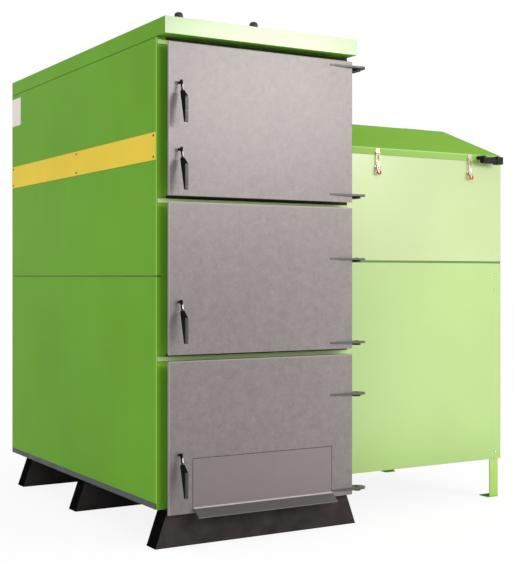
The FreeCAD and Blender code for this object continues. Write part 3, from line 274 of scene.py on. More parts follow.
def shade_end_faces(tree, painted, colour):
    """Darken the faces that look along the part's width: painted shade on the end faces."""
    shape = tree.nodes.new("ShaderNodeNewGeometry")
    along = part_of(tree, shape.outputs["Normal"], "X")
    ends = rising(tree, times(tree, along, along), start=0.2, end=0.4)
    return mix(tree, ends, painted, scaled(colour, END_SHADE))


def light_front_faces(tree, shader, worn, front, gloss_level):
    """Give the faces that look forward a paler tone, which is painted light, and a shine of their own."""
    facing = tree.nodes.new("ShaderNodeTexCoord").outputs["Normal"]
    lightened = rising(tree, times(tree, part_of(tree, facing, "Y"), -1.0), start=0.85, end=0.95)
    level = add(tree, "ShaderNodeMapRange", Value=lightened, To_Min=gloss_level, To_Max=FRONT_FACE_GLOSS)
    tree.links.new(mix(tree, lightened, worn, front), shader.inputs["Base Color"])
    tree.links.new(level.outputs[0], shader.inputs["Specular IOR Level"])


def finish_surface(tree, shader, colour, roughness, normal, height, depth):
    """Wire the colour, the roughness and a bump of the given depth into the shader."""
    bump = add(tree, "ShaderNodeBump", Height=height, Distance=depth, Normal=normal)
    bump.inputs["Strength"].default_value = 1.0
    tree.links.new(colour, shader.inputs["Base Color"])
    tree.links.new(roughness, shader.inputs["Roughness"])
    tree.links.new(bump.outputs["Normal"], shader.inputs["Normal"])


# Materials
def powder_coat(name, colour, roughness=0.36, peel=0.00006, edge=0.0016, gloss_level=0.02,
                coat=0.0, coat_span=None, bands=()):
    """Sprayed and baked paint: orange peel, a faint change of tone, paler edges that are partly wear and
    partly painted highlight, and some dust.

    The clear coat can keep to a span of one axis, and a band paints a span in a tone of its own; the bands
    here carry painted highlights, painted shade and painted sheen."""
    material, tree, shader, place = start_material(name, roughness)
    tone = tones(tree, noise(tree, place, scale=1.6), colour, dark=0.93, pale=1.06)
    dust = rising(tree, noise(tree, place, scale=260.0, detail=2.0), start=0.70, end=0.80, amount=0.10)
    dusty = mix(tree, dust, tone, scaled(colour, 1.5))
    edges, normal = edge_mask(tree, edge)
    painted = wear_and_highlight_edges(tree, edges, dusty, colour, share=0.55, lift=1.25)
    painted = paint_bands(tree, place, painted, bands)
    gloss = uneven(tree, noise(tree, place, scale=7.0), roughness, less=0.04, more=0.05)
    bumps = noise(tree, place, scale=620.0, detail=2.0)
    finish_surface(tree, shader, painted, gloss, normal, bumps, depth=peel)
    shader.inputs["Specular IOR Level"].default_value = gloss_level
    shader.inputs["Coat Weight"].default_value = coat
    if coat_span:
        weight = times(tree, span_mask(tree, place, *coat_span), coat)
        tree.links.new(weight, shader.inputs["Coat Weight"])
    shader.inputs["Coat Roughness"].default_value = COAT_ROUGHNESS
    shader.inputs["Coat IOR"].default_value = COAT_IOR
    return material


def hammered_paint(name, colour, mottle=1.0, bands=()):
    """Heat-proof door paint: cloudy mottling with fine pale and dark specks, edges made paler partly by wear
    and partly as painted highlight, and bands of painted highlight and painted shade.
    """
    material, tree, shader, place = start_material(name, DOOR_ROUGHNESS)
    cloud_depth = 0.24 * mottle
    speck_depth = 0.65 * mottle
    clouds = noise(tree, place, scale=38.0, detail=7.0, roughness=0.70)
    cloud = tones(tree, clouds, colour, dark=1 - cloud_depth, pale=1 + cloud_depth)
    drift = ramp(tree, noise(tree, place, scale=3.2, detail=3.0), [(0.32, 0.96), (0.68, 1.04)])
    mottled = mix(tree, 1.0, cloud, drift, "MULTIPLY")
    pale_noise = noise(tree, place, scale=120.0, detail=3.0, roughness=0.65)
    dark_noise = noise(tree, place, scale=95.0, detail=3.0, roughness=0.65)
    pale = rising(tree, pale_noise, start=0.60, end=0.70, amount=speck_depth)
    dark = ramp(tree, dark_noise, [(0.28, speck_depth), (0.40, 0.0)])
    speckled = mix(tree, dark, mix(tree, pale, mottled, scaled(colour, 1.8)), scaled(colour, 0.5))
    edges, normal = edge_mask(tree, radius=0.002)
    lightened = wear_and_highlight_edges(tree, edges, speckled, colour, share=0.4, lift=1.3)
    painted = paint_bands(tree, place, lightened, bands)
    gloss = uneven(tree, noise(tree, place, scale=60.0), DOOR_ROUGHNESS, less=0.015, more=0.015)
    bumps = noise(tree, place, scale=130.0, detail=3.0)
    finish_surface(tree, shader, painted, gloss, normal, bumps, depth=0.00004)
    shader.inputs["Specular IOR Level"].default_value = DOOR_GLOSS
    return material


def plain_paint(name, colour, roughness=0.5, edge_wear_and_highlight=1.9, gloss_level=0.3, shaded_ends=False):
    """Brushed-on paint for frames and ironwork, paler along its edges partly as wear and partly as painted
    highlight, a little dusty, and its end faces can be darkened as painted shade.
    """
    material, tree, shader, place = start_material(name, roughness)
    tone = tones(tree, noise(tree, place, scale=14.0, detail=5.0), colour, dark=0.75, pale=1.25)
    dust = rising(tree, noise(tree, place, scale=120.0, detail=3.0), start=0.60, end=0.80, amount=0.25)
    dusty = mix(tree, dust, tone, scaled(colour, 1.8))
    edges, normal = edge_mask(tree, radius=0.0012)
    painted = wear_and_highlight_edges(tree, edges, dusty, colour, share=0.6, lift=edge_wear_and_highlight)
    if shaded_ends:
        painted = shade_end_faces(tree, painted, colour)
    gloss = uneven(tree, noise(tree, place, scale=30.0), roughness, less=0.06, more=0.1)
    bumps = noise(tree, place, scale=300.0, detail=3.0)
    finish_surface(tree, shader, painted, gloss, normal, bumps, depth=0.00012)
    shader.inputs["Specular IOR Level"].default_value = gloss_level
    return material


def bare_metal(name, colour, roughness, stain=0.6, bands=()):
    """Plated or rolled metal, with fine grain, stains, bright edges that are partly wear and partly painted
    highlight, and bands in other tones.
    """
    material, tree, shader, place = start_material(name, roughness, metallic=1.0)
    tone = tones(tree, noise(tree, place, scale=18.0, detail=6.0), colour, dark=stain, pale=1.0, end=0.65)
    edges, normal = edge_mask(tree, radius=0.0006)
    edge_lightened = wear_and_highlight_edges(tree, edges, tone, colour, share=0.5, lift=1.4)
    edge_lightened = paint_bands(tree, place, edge_lightened, bands)
    gloss = uneven(tree, noise(tree, place, scale=90.0, detail=5.0), roughness, less=0.1, more=0.14)
    bumps = noise(tree, place, scale=700.0, detail=2.0)
    finish_surface(tree, shader, edge_lightened, gloss, normal, bumps, depth=0.00003)
    return material


def moulded_plastic(name, colour, roughness=0.42, gloss_level=0.5, front=None):
    """Moulded or dipped plastic with a fine grain and small scuffs; its forward faces can take a paler tone,
    which is painted light, and a higher shine.
    """
    material, tree, shader, place = start_material(name, roughness)
    tone = tones(tree, noise(tree, place, scale=40.0), colour, dark=0.8, pale=1.3)
    scuffs = noise(tree, place, scale=160.0, detail=6.0, roughness=0.7)
    worn = mix(tree, rising(tree, scuffs, start=0.62, end=0.78, amount=0.35), tone, scaled(colour, 2.2))
    _, normal = edge_mask(tree, radius=0.0008)
    gloss = uneven(tree, noise(tree, place, scale=120.0), roughness, less=0.08, more=0.1)
    bumps = noise(tree, place, scale=900.0, detail=2.0)
    finish_surface(tree, shader, worn, gloss, normal, bumps, depth=0.00004)
    shader.inputs["Specular IOR Level"].default_value = gloss_level
    if front:
        light_front_faces(tree, shader, worn, front, gloss_level)
    return material


def coarse_board(name, colour, grain, roughness=0.9):
    """Pressed board, wool or cast iron: a rough, grainy, unpainted surface."""
    material, tree, shader, place = start_material(name, roughness)
    grains = noise(tree, place, scale=grain, detail=8.0, roughness=0.7)
    tone = tones(tree, grains, colour, dark=0.7, pale=1.2)
    soot = rising(tree, noise(tree, place, scale=4.0), start=0.45, end=0.75, amount=0.5)
    sooty = mix(tree, soot, tone, scaled(colour, 0.4))
    _, normal = edge_mask(tree, radius=0.001)
    gloss = uneven(tree, noise(tree, place, scale=grain), roughness, less=0.1, more=0.0)
    bumps = noise(tree, place, scale=2 * grain)
    finish_surface(tree, shader, sooty, gloss, normal, bumps, depth=0.0006)
    return material


# Places that the paints keep to, read from the frame
FOOT_PLATE = 0.006
SEAM_GAP = 0.010
LINE_WIDTH = 0.004
FOLD_WIDTH = 0.009
EDGE_WIDTH = 0.0045
FLAP_FOLD = 0.0305
FOLD_LINE = 0.0036
FACE_DEPTH = 0.0015
SCREW_FLANGE = 0.0008
panel_low, panel_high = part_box("side_panel_left_upper")
cover_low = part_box("top_cover")[0]
lid_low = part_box("hopper_lid")[0]
door_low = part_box("upper_door_panel")[0]
flap_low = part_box("air_flap")[0]
front_low, front_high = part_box("hopper_lower_front")
seam_low = front_high.z
seam_top = seam_low + SEAM_GAP
lid_points = [vertex.co for vertex in nodes["hopper_lid"].data.vertices]
lip_top = max(point.z for point in lid_points if point.y < lid_low.y + FACE_DEPTH)
lower_tops = [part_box(f"{door}_door_panel")[1].z for door in DOORS[:2]]
above_foot = ("Z", FOOT_PLATE, FAR)
# Span of painted shade on the legs' foot plates, which take the darker casing green
foot_plate_shade = ("Z", -FACE_DEPTH, FOOT_PLATE)
# Span of the painted highlight along the side panels' front fold
front_fold = ("Y", panel_low.y + FACE_DEPTH, panel_low.y + FOLD_WIDTH)
# Spans of painted shade under the cover and at the seam between the side panels
under_cover = ("Z", panel_high.z - LINE_WIDTH, panel_high.z + LINE_WIDTH)
panel_seam = ("Z", panel_low.z - LINE_WIDTH, panel_low.z + FACE_DEPTH)
# Spans of painted highlight along the doors' left edge and the top edges of the lower two doors
latch_edge = ("X", door_low.x - FACE_DEPTH, door_low.x + EDGE_WIDTH)
door_tops = [("Z", top - EDGE_WIDTH, top) for top in lower_tops]
# Span of the cover's nose, which takes a clear coat and the painted sheen
cover_nose = ("Y", cover_low.y - FACE_DEPTH, cover_low.y + FACE_DEPTH)
# Span of the painted sheen on the lid's front lip
lid_lip = ("Y", lid_low.y - FACE_DEPTH, lid_low.y + FACE_DEPTH)
# Span of the painted highlight along the top edge of the lid's lip
lip_edge = ("Z", lip_top - EDGE_WIDTH, lip_top)
# Span of painted shade in the seam between the hopper's front panels
seam_line = ("Z", seam_low, seam_top)
above_seam = ("Z", seam_top, FAR)
# Span of painted shade round the foot of each hopper screw head
screw_flange = ("Y", front_low.y - SCREW_FLANGE, front_low.y + FACE_DEPTH)
band_screws = ("X", -FAR, 0.0)
# Span of the painted highlight along the flap's fold
flap_fold = ("Z", flap_low.z + FLAP_FOLD, flap_low.z + FLAP_FOLD + FOLD_LINE)
# Span of the painted shade on the flap's lip
flap_lip = ("Y", flap_low.y - FACE_DEPTH, door_low.y - 3 * FACE_DEPTH)

# One material for each slot of the record
MATERIALS = {
    "casing_green": powder_coat("casing_green_coat", CASING_GREEN),
    "hopper_green": powder_coat("hopper_green_coat", HOPPER_GREEN, gloss_level=0.4, coat=1.0,
                                coat_span=above_foot),
    # The doors carry painted highlights along their left edge and the lower two doors' top edges
    "door_grey": hammered_paint("door_grey_paint", DOOR_GREY,
                                bands=[(span, DOOR_EDGE_HIGHLIGHT) for span in (latch_edge, *door_tops)]),
    # The base paint darkens the feet's end faces as painted shade
    "base_dark": plain_paint("base_dark_paint", BASE_DARK, gloss_level=0.0, shaded_ends=True),
    "band_yellow": powder_coat("band_yellow_film", BAND_YELLOW, roughness=0.42, peel=0.00003, edge=0.0008),
    "plate_pale": powder_coat("plate_pale_film", PLATE_PALE, roughness=0.40, peel=0.00002, edge=0.0008),
    "boiler_steel": bare_metal("boiler_steel_scale", BOILER_STEEL, roughness=0.55),
    "zinc": bare_metal("zinc_plate", ZINC, roughness=0.46),
    "black_steel": plain_paint("black_steel_paint", BLACK, roughness=0.42, edge_wear_and_highlight=3.0),
    "black_plastic": moulded_plastic("black_plastic_moulding", BLACK),
    "grate_iron": coarse_board("grate_iron_cast", GRATE_IRON, grain=90.0, roughness=0.8),
    "insulation": coarse_board("insulation_wool", WOOL, grain=160.0),
    "lining": coarse_board("lining_board", LINING, grain=220.0),
    "rope_seal": coarse_board("rope_seal_braid", ROPE, grain=300.0),
    "motor_grey": plain_paint("motor_grey_enamel", MOTOR_GREY, roughness=0.4),
}

# Finishes of single pieces
STRIP_PAINT = plain_paint("base_strip_paint", STRIP_GREY)
# The side panels carry a painted highlight on the front fold and painted shade under the cover and at their
# seam
PANEL_COAT = powder_coat("panel_green_coat", CASING_GREEN, bands=(
    (front_fold, FOLD_HIGHLIGHT_GREEN), (under_cover, SHADE_GREEN), (panel_seam, SHADE_GREEN)))
# The cover's nose takes a clear coat and a greyer green; the greyer green is painted sheen
COVER_COAT = powder_coat("cover_green_coat", CASING_GREEN, coat=0.95, coat_span=cover_nose,
                         bands=((cover_nose, NOSE_SHEEN_GREEN),))
# The lid's front lip is painted paler as sheen, with a painted highlight along its top edge
LID_COAT = powder_coat("lid_green_coat", LID_GREEN, gloss_level=0.0,
                       bands=((lid_lip, LIP_SHEEN_GREEN), (lip_edge, LIP_EDGE_HIGHLIGHT)))
# The upper front is paler than the lower front as painted sheen, and its seam carries painted shade
SEAM_COAT = powder_coat("seam_green_coat", UPPER_SHEEN_GREEN, gloss_level=0.4, coat=1.0,
                        coat_span=above_seam, bands=((seam_line, HOPPER_SEAM_SHADE),))
# The legs' foot plates take the darker casing green as painted shade
LEG_COAT = powder_coat("leg_green_coat", LEG_GREEN, gloss_level=0.0, coat=1.0, coat_span=above_foot,
                       bands=((foot_plate_shade, CASING_GREEN),))
BAR_COAT = powder_coat("bar_pale_coat", BAR_PALE, roughness=0.5)
# The flap carries painted shade on its lip and a painted highlight along its fold
FLAP_PAINT = hammered_paint("flap_paint", DOOR_GREY, mottle=0.15,
                            bands=((flap_lip, FLAP_LIP_SHADE), (flap_fold, FLAP_FOLD_HIGHLIGHT)))
HINGE_PAINT = plain_paint("hinge_paint", HINGE_GREY, roughness=0.42, edge_wear_and_highlight=1.6, gloss_level=0.8)
LEVER_BLACK = plain_paint("lever_black_paint", GRIP_SIDE, edge_wear_and_highlight=1.5, gloss_level=0.04)
LATCH_ZINC = bare_metal("latch_zinc_plate", PALE_ZINC, roughness=0.5, stain=0.85)
# Pale plated metal for the strips that stand in for the glint on the levers' necks
NECK_GLINT_ZINC = bare_metal("neck_glint_plate", SCREW_PALE, roughness=0.4, stain=0.9)
# The hopper's screw heads carry a ring of painted shade at their foot
SCREW_ZINC = bare_metal("screw_zinc_plate", SCREW_PALE, roughness=0.4, stain=0.9,
                        bands=((screw_flange, SHADE_GREEN), (band_screws, SCREW_DARK)))
DARK_GRIP = moulded_plastic("dark_grip_moulding", BLACK, roughness=0.5, gloss_level=0.12)
# The grips' forward faces take a paler tone as painted light, and a higher specular level
FRONT_LIT_GRIP = moulded_plastic("front_lit_grip_moulding", GRIP_SIDE, gloss_level=0.04, front=GRIP_FRONT_LIGHT)
RED_DIP = moulded_plastic("red_dip", GRIP_RED, roughness=0.3)


def dress(piece, material):
    """Give every material slot of a piece the one material."""
    if not piece.material_slots:
        piece.data.materials.append(material)
    for slot in piece.material_slots:
        slot.material = material


SPECIAL = {"base_frame": STRIP_PAINT, "top_cover": COVER_COAT, "hopper_lid": LID_COAT,
           "hopper_upper_front": SEAM_COAT, "air_flap": FLAP_PAINT, "lid_handle": DARK_GRIP,
           "hopper_legs": LEG_COAT, "latch_plates": LATCH_ZINC, "hopper_shell": MATERIALS["casing_green"]}
for hand in HANDS:
    SPECIAL[f"side_panel_{hand}_lower"] = PANEL_COAT
    SPECIAL[f"side_panel_{hand}_upper"] = PANEL_COAT
    SPECIAL[f"latch_bail_{hand}"] = LATCH_ZINC
for handle in HANDLES:
    SPECIAL[f"{handle}_lever"] = LEVER_BLACK
    SPECIAL[f"{handle}_grip"] = FRONT_LIT_GRIP
for door in DOORS:
    SPECIAL[f"{door}_hinge_leaves"] = HINGE_PAINT
for entry in frame["record"]["subparts"]:
    node = entry["node"]
    dress(nodes[node], SPECIAL.get(node, MATERIALS[entry["material_slot"]]))


# Mesh helpers
def make_piece(name, vertices, faces, material, body, slot):
    """A smooth mesh piece that rides on a body and takes the given material; its slot argument is not used.
    """
    mesh = bpy.data.meshes.new(name)
    mesh.from_pydata([tuple(point) for point in vertices], [], faces)
    shape = bmesh.new()
    shape.from_mesh(mesh)
    bmesh.ops.remove_doubles(shape, verts=shape.verts, dist=WELD)
    bmesh.ops.recalc_face_normals(shape, faces=shape.faces)
    shape.to_mesh(mesh)
    shape.free()
    mesh.shade_smooth()
    mesh.set_sharp_from_angle(angle=math.radians(SHARP_ANGLE))
    piece = bpy.data.objects.new(name, mesh)
    bpy.context.scene.collection.objects.link(piece)
    dress(piece, material)
    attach(piece, body)
    return piece


def join_shapes(shapes):
    """Several (vertices, faces) shapes as one."""
    vertices = []
    faces = []
    for points, loops in shapes:
        base = len(vertices)
        vertices.extend(points)
        faces.extend([[base + index for index in loop] for loop in loops])
    return vertices, faces


def block(low, high):
    """A box between two corners."""
    xs, ys, zs = zip(low, high)
    vertices = [Vector((x, y, z)) for x in xs for y in ys for z in zs]
    faces = [[0, 1, 3, 2], [4, 6, 7, 5], [0, 4, 5, 1], [2, 3, 7, 6], [0, 2, 6, 4], [1, 5, 7, 3]]
    return vertices, faces


def bent_strip(line, thickness, x_low, x_high):
    """A sheet strip bent along a line of (y, z) points and as wide as the x span."""
    count = len(line)
    vertices = []
    for index, (y, z) in enumerate(line):
        before = line[max(index - 1, 0)]
        after = line[min(index + 1, count - 1)]
        aim = Vector((0, after[0] - before[0], after[1] - before[1])).normalized()
        inward = Vector((0, aim.z, -aim.y)) * thickness
        for x in (x_low, x_high):
            vertices.append(Vector((x, y, z)))
            vertices.append(Vector((x, y, z)) + inward)
    faces = [[0, 1, 3, 2], [4 * count - 4, 4 * count - 2, 4 * count - 1, 4 * count - 3]]
    for index in range(count - 1):
        low = 4 * index
        high = low + 4
        for first, second in ((0, 2), (2, 3), (3, 1), (1, 0)):
            faces.append([low + first, low + second, high + second, high + first])
    return vertices, faces


def basis(direction):
    """Two unit vectors square to a direction and to each other."""
    aim = Vector(direction).normalized()
    helper = Vector((0, 0, 1)) if abs(aim.z) < STEEP else Vector((1, 0, 0))
    across = aim.cross(helper).normalized()
    return across, aim.cross(across).normalized()


def ring_faces(low, high, sides):
    """The faces between two rings of points, given the first point of each."""
    faces = []
    for step in range(sides):
        after = (step + 1) % sides
        faces.append([low + step, low + after, high + after, high + step])
    return faces


def end_caps(last, sides):
    """The faces that close the first ring and the last one, given the last ring's first point."""
    return [list(range(sides))[::-1], [last + step for step in range(sides)]]


def lathe(profile, foot, direction, sides, lobes=0, depth=0.0):
    """Turn (radius, height) points round an axis; lobes press a wavy rim into the radius."""
    aim = Vector(direction).normalized()
    across, along = basis(direction)
    vertices = []
    for radius, height in profile:
        for step in range(sides):
            angle = 2 * math.pi * step / sides
            reach = radius * (1 + depth * math.cos(lobes * angle))
            spoke = across * math.cos(angle) + along * math.sin(angle)
            vertices.append(Vector(foot) + aim * height + spoke * reach)
    faces = []
    for ring in range(len(profile) - 1):
        faces.extend(ring_faces(ring * sides, (ring + 1) * sides, sides))
    faces.extend(end_caps((len(profile) - 1) * sides, sides))
    return vertices, faces


def sweep(path, radius, sides, closed=False):
    """A round tube along a path of points; the frame is carried along so that it doesn't twist."""
    count = len(path)
    tangents = []
    for index in range(count):
        before = path[index - 1] if closed or index > 0 else path[index]
        after = path[(index + 1) % count] if closed or index < count - 1 else path[index]
        tangents.append((after - before).normalized())
    across, _ = basis(tangents[0])
    vertices = []
    for point, tangent in zip(path, tangents):
        across = (across - tangent * across.dot(tangent)).normalized()
        along = tangent.cross(across)
        for step in range(sides):
            angle = 2 * math.pi * step / sides
            vertices.append(point + (across * math.cos(angle) + along * math.sin(angle)) * radius)
    faces = []
    for ring in range(count if closed else count - 1):
        faces.extend(ring_faces(ring * sides, (ring + 1) % count * sides, sides))
    if not closed:
        faces.extend(end_caps((count - 1) * sides, sides))
    return vertices, faces


# Rope seals behind the doors
ROPE_STRANDS = 3
ROPE_PITCH = 0.036
ROPE_CORNER = 0.030
ROPE_STEP = 0.004
STRAND_SHARE = 0.52
STRAND_SIDES = 8


def spoke_at(degrees):
    """The outward direction at an angle in an upright plane."""
    angle = math.radians(degrees)
    return Vector((math.cos(angle), 0, math.sin(angle)))


def rounded_loop(low, high, depth, corner, step):
    """Points round an upright rectangle with rounded corners, with the outward direction of each."""
    points = []
    centres = [(high[0] - corner, high[1] - corner, 0), (low[0] + corner, high[1] - corner, 90),
               (low[0] + corner, low[1] + corner, 180), (high[0] - corner, low[1] + corner, 270)]
    turns = max(3, round(corner * math.pi / 2 / step))
    for index, (x, z, start) in enumerate(centres):
        for turn in range(turns + 1):
            spoke = spoke_at(start + 90 * turn / turns)
            points.append((Vector((x, depth, z)) + spoke * corner, spoke))
        next_x, next_z, next_start = centres[(index + 1) % 4]
        spoke = spoke_at(next_start)
        end = Vector((next_x, depth, next_z)) + spoke * corner
        begin = points[-1][0]
        runs = max(1, round((end - begin).length / step))
        points.extend((begin.lerp(end, run / runs), spoke) for run in range(1, runs))
    return points


def make_rope_seal(door):
    """A laid rope of three strands in the door's rim, pressed to the thickness of its groove."""
    node = f"{door}_door_seal"
    low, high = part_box(node)
    half_depth = (high.y - low.y) / 2
    line = rounded_loop((low.x + half_depth, low.z + half_depth), (high.x - half_depth, high.z - half_depth),
                        (low.y + high.y) / 2, ROPE_CORNER, ROPE_STEP)
    length = sum((line[index][0] - line[index - 1][0]).length for index in range(len(line)))
    turns = round(length / ROPE_PITCH)
    strand = half_depth * STRAND_SHARE
    back = Vector((0, 1, 0))
    strands = []
    for number in range(ROPE_STRANDS):
        path = []
        for index, (point, spoke) in enumerate(line):
            angle = 2 * math.pi * (turns * index / len(line) + number / ROPE_STRANDS)
            offset = spoke * math.cos(angle) + back * math.sin(angle)
            path.append(point + offset * (half_depth - strand))
        strands.append(sweep(path, strand, STRAND_SIDES, closed=True))
    piece = make_piece(f"{door}_rope_seal", *join_shapes(strands), MATERIALS["rope_seal"],
                       f"{door}_door", "rope_seal")
    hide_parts(node)


# Screw heads on the side band and the hopper, in shares of each plain screw's radius and height
HEAD_PROFILE = [(1.00, 0.00), (1.00, 0.22), (0.74, 0.30), (0.70, 0.62), (0.60, 0.88), (0.46, 0.98),
                (0.38, 1.00), (0.34, 0.60), (0.00, 0.55)]
HEAD_SIDES = 24
SMALLEST_RADIUS = 1e-5


def find_island(start, left):
    """The points joined to a vertex by edges; they are taken out of the set of those left."""
    stack = [start]
    island = []
    while stack:
        vertex = stack.pop()
        island.append(vertex.co.copy())
        for edge in vertex.link_edges:
            other = edge.other_vert(vertex)
            if other in left:
                left.remove(other)
                stack.append(other)
    return island


def island_boxes(node):
    """The box of each separate solid in a node's mesh."""
    shape = bmesh.new()
    shape.from_mesh(nodes[node].data)
    bmesh.ops.remove_doubles(shape, verts=shape.verts, dist=WELD)
    left = set(shape.verts)
    boxes = []
    while left:
        island = find_island(left.pop(), left)
        low = Vector(min(point[axis] for point in island) for axis in range(3))
        high = Vector(max(point[axis] for point in island) for axis in range(3))
        boxes.append((low, high))
    shape.free()
    return sorted(boxes, key=lambda box: tuple(box[0]))


def make_screw_heads():
    """Flanged heads with a round socket, one where each plain screw is."""
    heads = []
    for low, high in island_boxes("screws"):
        size = high - low
        middle = (low + high) / 2
        thin = min(range(3), key=lambda axis: size[axis])
        direction = Vector((0, 0, 0))
        direction[thin] = -1.0
        foot = middle - direction * size[thin] / 2
        radius = max(size) / 2
        profile = [(max(share * radius, SMALLEST_RADIUS), rise * size[thin]) for share, rise in HEAD_PROFILE]
        heads.append(lathe(profile, foot, direction, HEAD_SIDES))
    piece = make_piece("screw_heads", *join_shapes(heads), SCREW_ZINC, "boiler", "zinc")
    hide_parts("screws")


# Caps on the two risers, in shares of each plain cap's radius and height
CAP_PROFILE = [(0.82, 0.00), (0.97, 0.02), (1.00, 0.06), (1.00, 0.36), (0.96, 0.40), (0.96, 0.44),
               (0.99, 0.48), (0.95, 0.66), (0.84, 0.82), (0.64, 0.93), (0.36, 0.985), (0.10, 1.00)]
CAP_FIT = 0.985
CAP_SIDES = 72
CAP_RIBS = 18
RIB_DEPTH = 0.015


def make_riser_caps():
    """Ribbed caps with a domed top."""
    caps = []
    for low, high in island_boxes("riser_caps"):
        foot = Vector(((low.x + high.x) / 2, (low.y + high.y) / 2, low.z))
        radius = (high.x - low.x) / 2
        profile = [(share * radius * CAP_FIT, rise * (high.z - low.z)) for share, rise in CAP_PROFILE]
        caps.append(lathe(profile, foot, (0, 0, 1), CAP_SIDES, lobes=CAP_RIBS, depth=RIB_DEPTH))
    piece = make_piece("ribbed_riser_caps", *join_shapes(caps), MATERIALS["black_plastic"],
                       "boiler", "black_plastic")
    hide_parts("riser_caps")


# Where the latches and levers turn, from the record
joint_places = {joint["name"]: Vector(joint["pos_m"]) for joint in frame["record"]["behaviour"]["joints"]}

# Stamped levers of the toggle latches, each with a red dipped loop; places are taken from the lever's pin
STAMP_PLATE = 0.0014
NECK_HALF_WIDTH = 0.0045
NECK_LINE = [(0.0015, 0.0016), (0.0000, 0.0022), (-0.0015, 0.0016), (-0.0022, 0.0000), (-0.0022, -0.0195)]
TAIL_HALF_WIDTH = 0.0105
TAIL_FLANGE = 0.0040
TAIL_LINE = [(-0.0022, -0.0190), (-0.0038, -0.0275), (-0.0065, -0.0365)]
CHEEK_LOW = (-0.0070, -0.0036, -0.0120)
CHEEK_HIGH = (0.0070, 0.0020, -0.0060)
STUB_RADIUS = 0.0018
STUB_REACH = 0.0105
STUB_DROP = 0.0080
STUB_SIDES = 16
RIVET_PROFILE = [(0.0028, -0.0010), (0.0028, 0.0012), (0.0012, 0.0024)]
RIVET_PLACES = [(-0.0044, -0.0235), (-0.0064, -0.0315)]
RIVET_SIDES = 16
LOOP_RADIUS = 0.0085
LOOP_WIRE = 0.0034
LOOP_OPENING = 70.0
LOOP_STEPS = 28
LOOP_SIDES = 12


def loop_path(centre, aim):
    """Points round the lever's loop, open where it meets the tail."""
    path = []
    for step in range(LOOP_STEPS + 1):
        angle = math.radians(-90 + LOOP_OPENING / 2 + (360 - LOOP_OPENING) * step / LOOP_STEPS)
        spoke = Vector((1, 0, 0)) * math.cos(angle) + aim * math.sin(angle)
        path.append(centre + spoke * LOOP_RADIUS)
    return path


def make_latch_lever(hand):
    """A plate rolled round its pin, with cheeks and stubs for the bail, a channelled tail and a loop."""
    node = f"latch_lever_{hand}"
    pin = joint_places[f"{node}_turn"]
    neck = [(pin.y + y, pin.z + z) for y, z in NECK_LINE]
    tail = [(pin.y + y, pin.z + z) for y, z in TAIL_LINE]
    left = pin.x - TAIL_HALF_WIDTH
    right = pin.x + TAIL_HALF_WIDTH
    stub = pin + Vector((0, 0, -STUB_DROP))
    reach = Vector((STUB_REACH, 0, 0))
    lever = make_piece(f"stamped_lever_{hand}", *join_shapes([
        bent_strip(neck, STAMP_PLATE, pin.x - NECK_HALF_WIDTH, pin.x + NECK_HALF_WIDTH),
        bent_strip(tail, STAMP_PLATE, left, right),
        bent_strip(tail, TAIL_FLANGE, left, left + STAMP_PLATE),
        bent_strip(tail, TAIL_FLANGE, right - STAMP_PLATE, right),
        block(pin + Vector(CHEEK_LOW), pin + Vector(CHEEK_HIGH)),
        sweep([stub - reach, stub + reach], STUB_RADIUS, STUB_SIDES),
    ]), LATCH_ZINC, node, "zinc")
    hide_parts(node)
    rivets = [lathe(RIVET_PROFILE, pin + Vector((0, y, z)), (0, -1, 0), RIVET_SIDES) for y, z in RIVET_PLACES]
    make_piece(f"lever_rivets_{hand}", *join_shapes(rivets), MATERIALS["black_steel"], node, "black_steel")
    end = Vector((pin.x, *tail[-1]))
    aim = (end - Vector((pin.x, *tail[-2]))).normalized()
    loop = sweep(loop_path(end + aim * LOOP_RADIUS, aim), LOOP_WIRE, LOOP_SIDES)
    make_piece(f"latch_loop_{hand}", *loop, RED_DIP, node, "black_plastic")


# Bright strips along the necks of the door levers, which stand in for the glint on each neck as a painted
# highlight
LEVER_LEAN = math.radians(13)
NECK_STRIP = [(0.0022, 0.010), (0.0031, 0.011), (0.0031, 0.027), (0.0022, 0.028)]
STRIP_OFFSET = 0.0028
STRIP_SIDES = 24
BEND_DEPTH = 0.0195


def make_neck_strip(handle):
    """A plated round strip along the neck's right side, between the lever's bend and its grip, standing in
    for the neck's glint as a painted highlight.
    """
    bend = joint_places[f"{handle}_turn"] + Vector((STRIP_OFFSET, -BEND_DEPTH, 0))
    down = (0, -math.sin(LEVER_LEAN), -math.cos(LEVER_LEAN))
    make_piece(f"{handle}_glint_strip", *lathe(NECK_STRIP, bend, down, STRIP_SIDES), NECK_GLINT_ZINC, handle, "zinc")


# Bars of the front frame, seen between the doors, with dark strips that stand in for the shadow in each gap
BAR_STAND = 0.006
BAR_MARGIN = 0.002
BAR_SHARE = 0.62
SHADOW_STRIP_STAND = 0.003
SHADOW_STRIP_INSET = 0.020


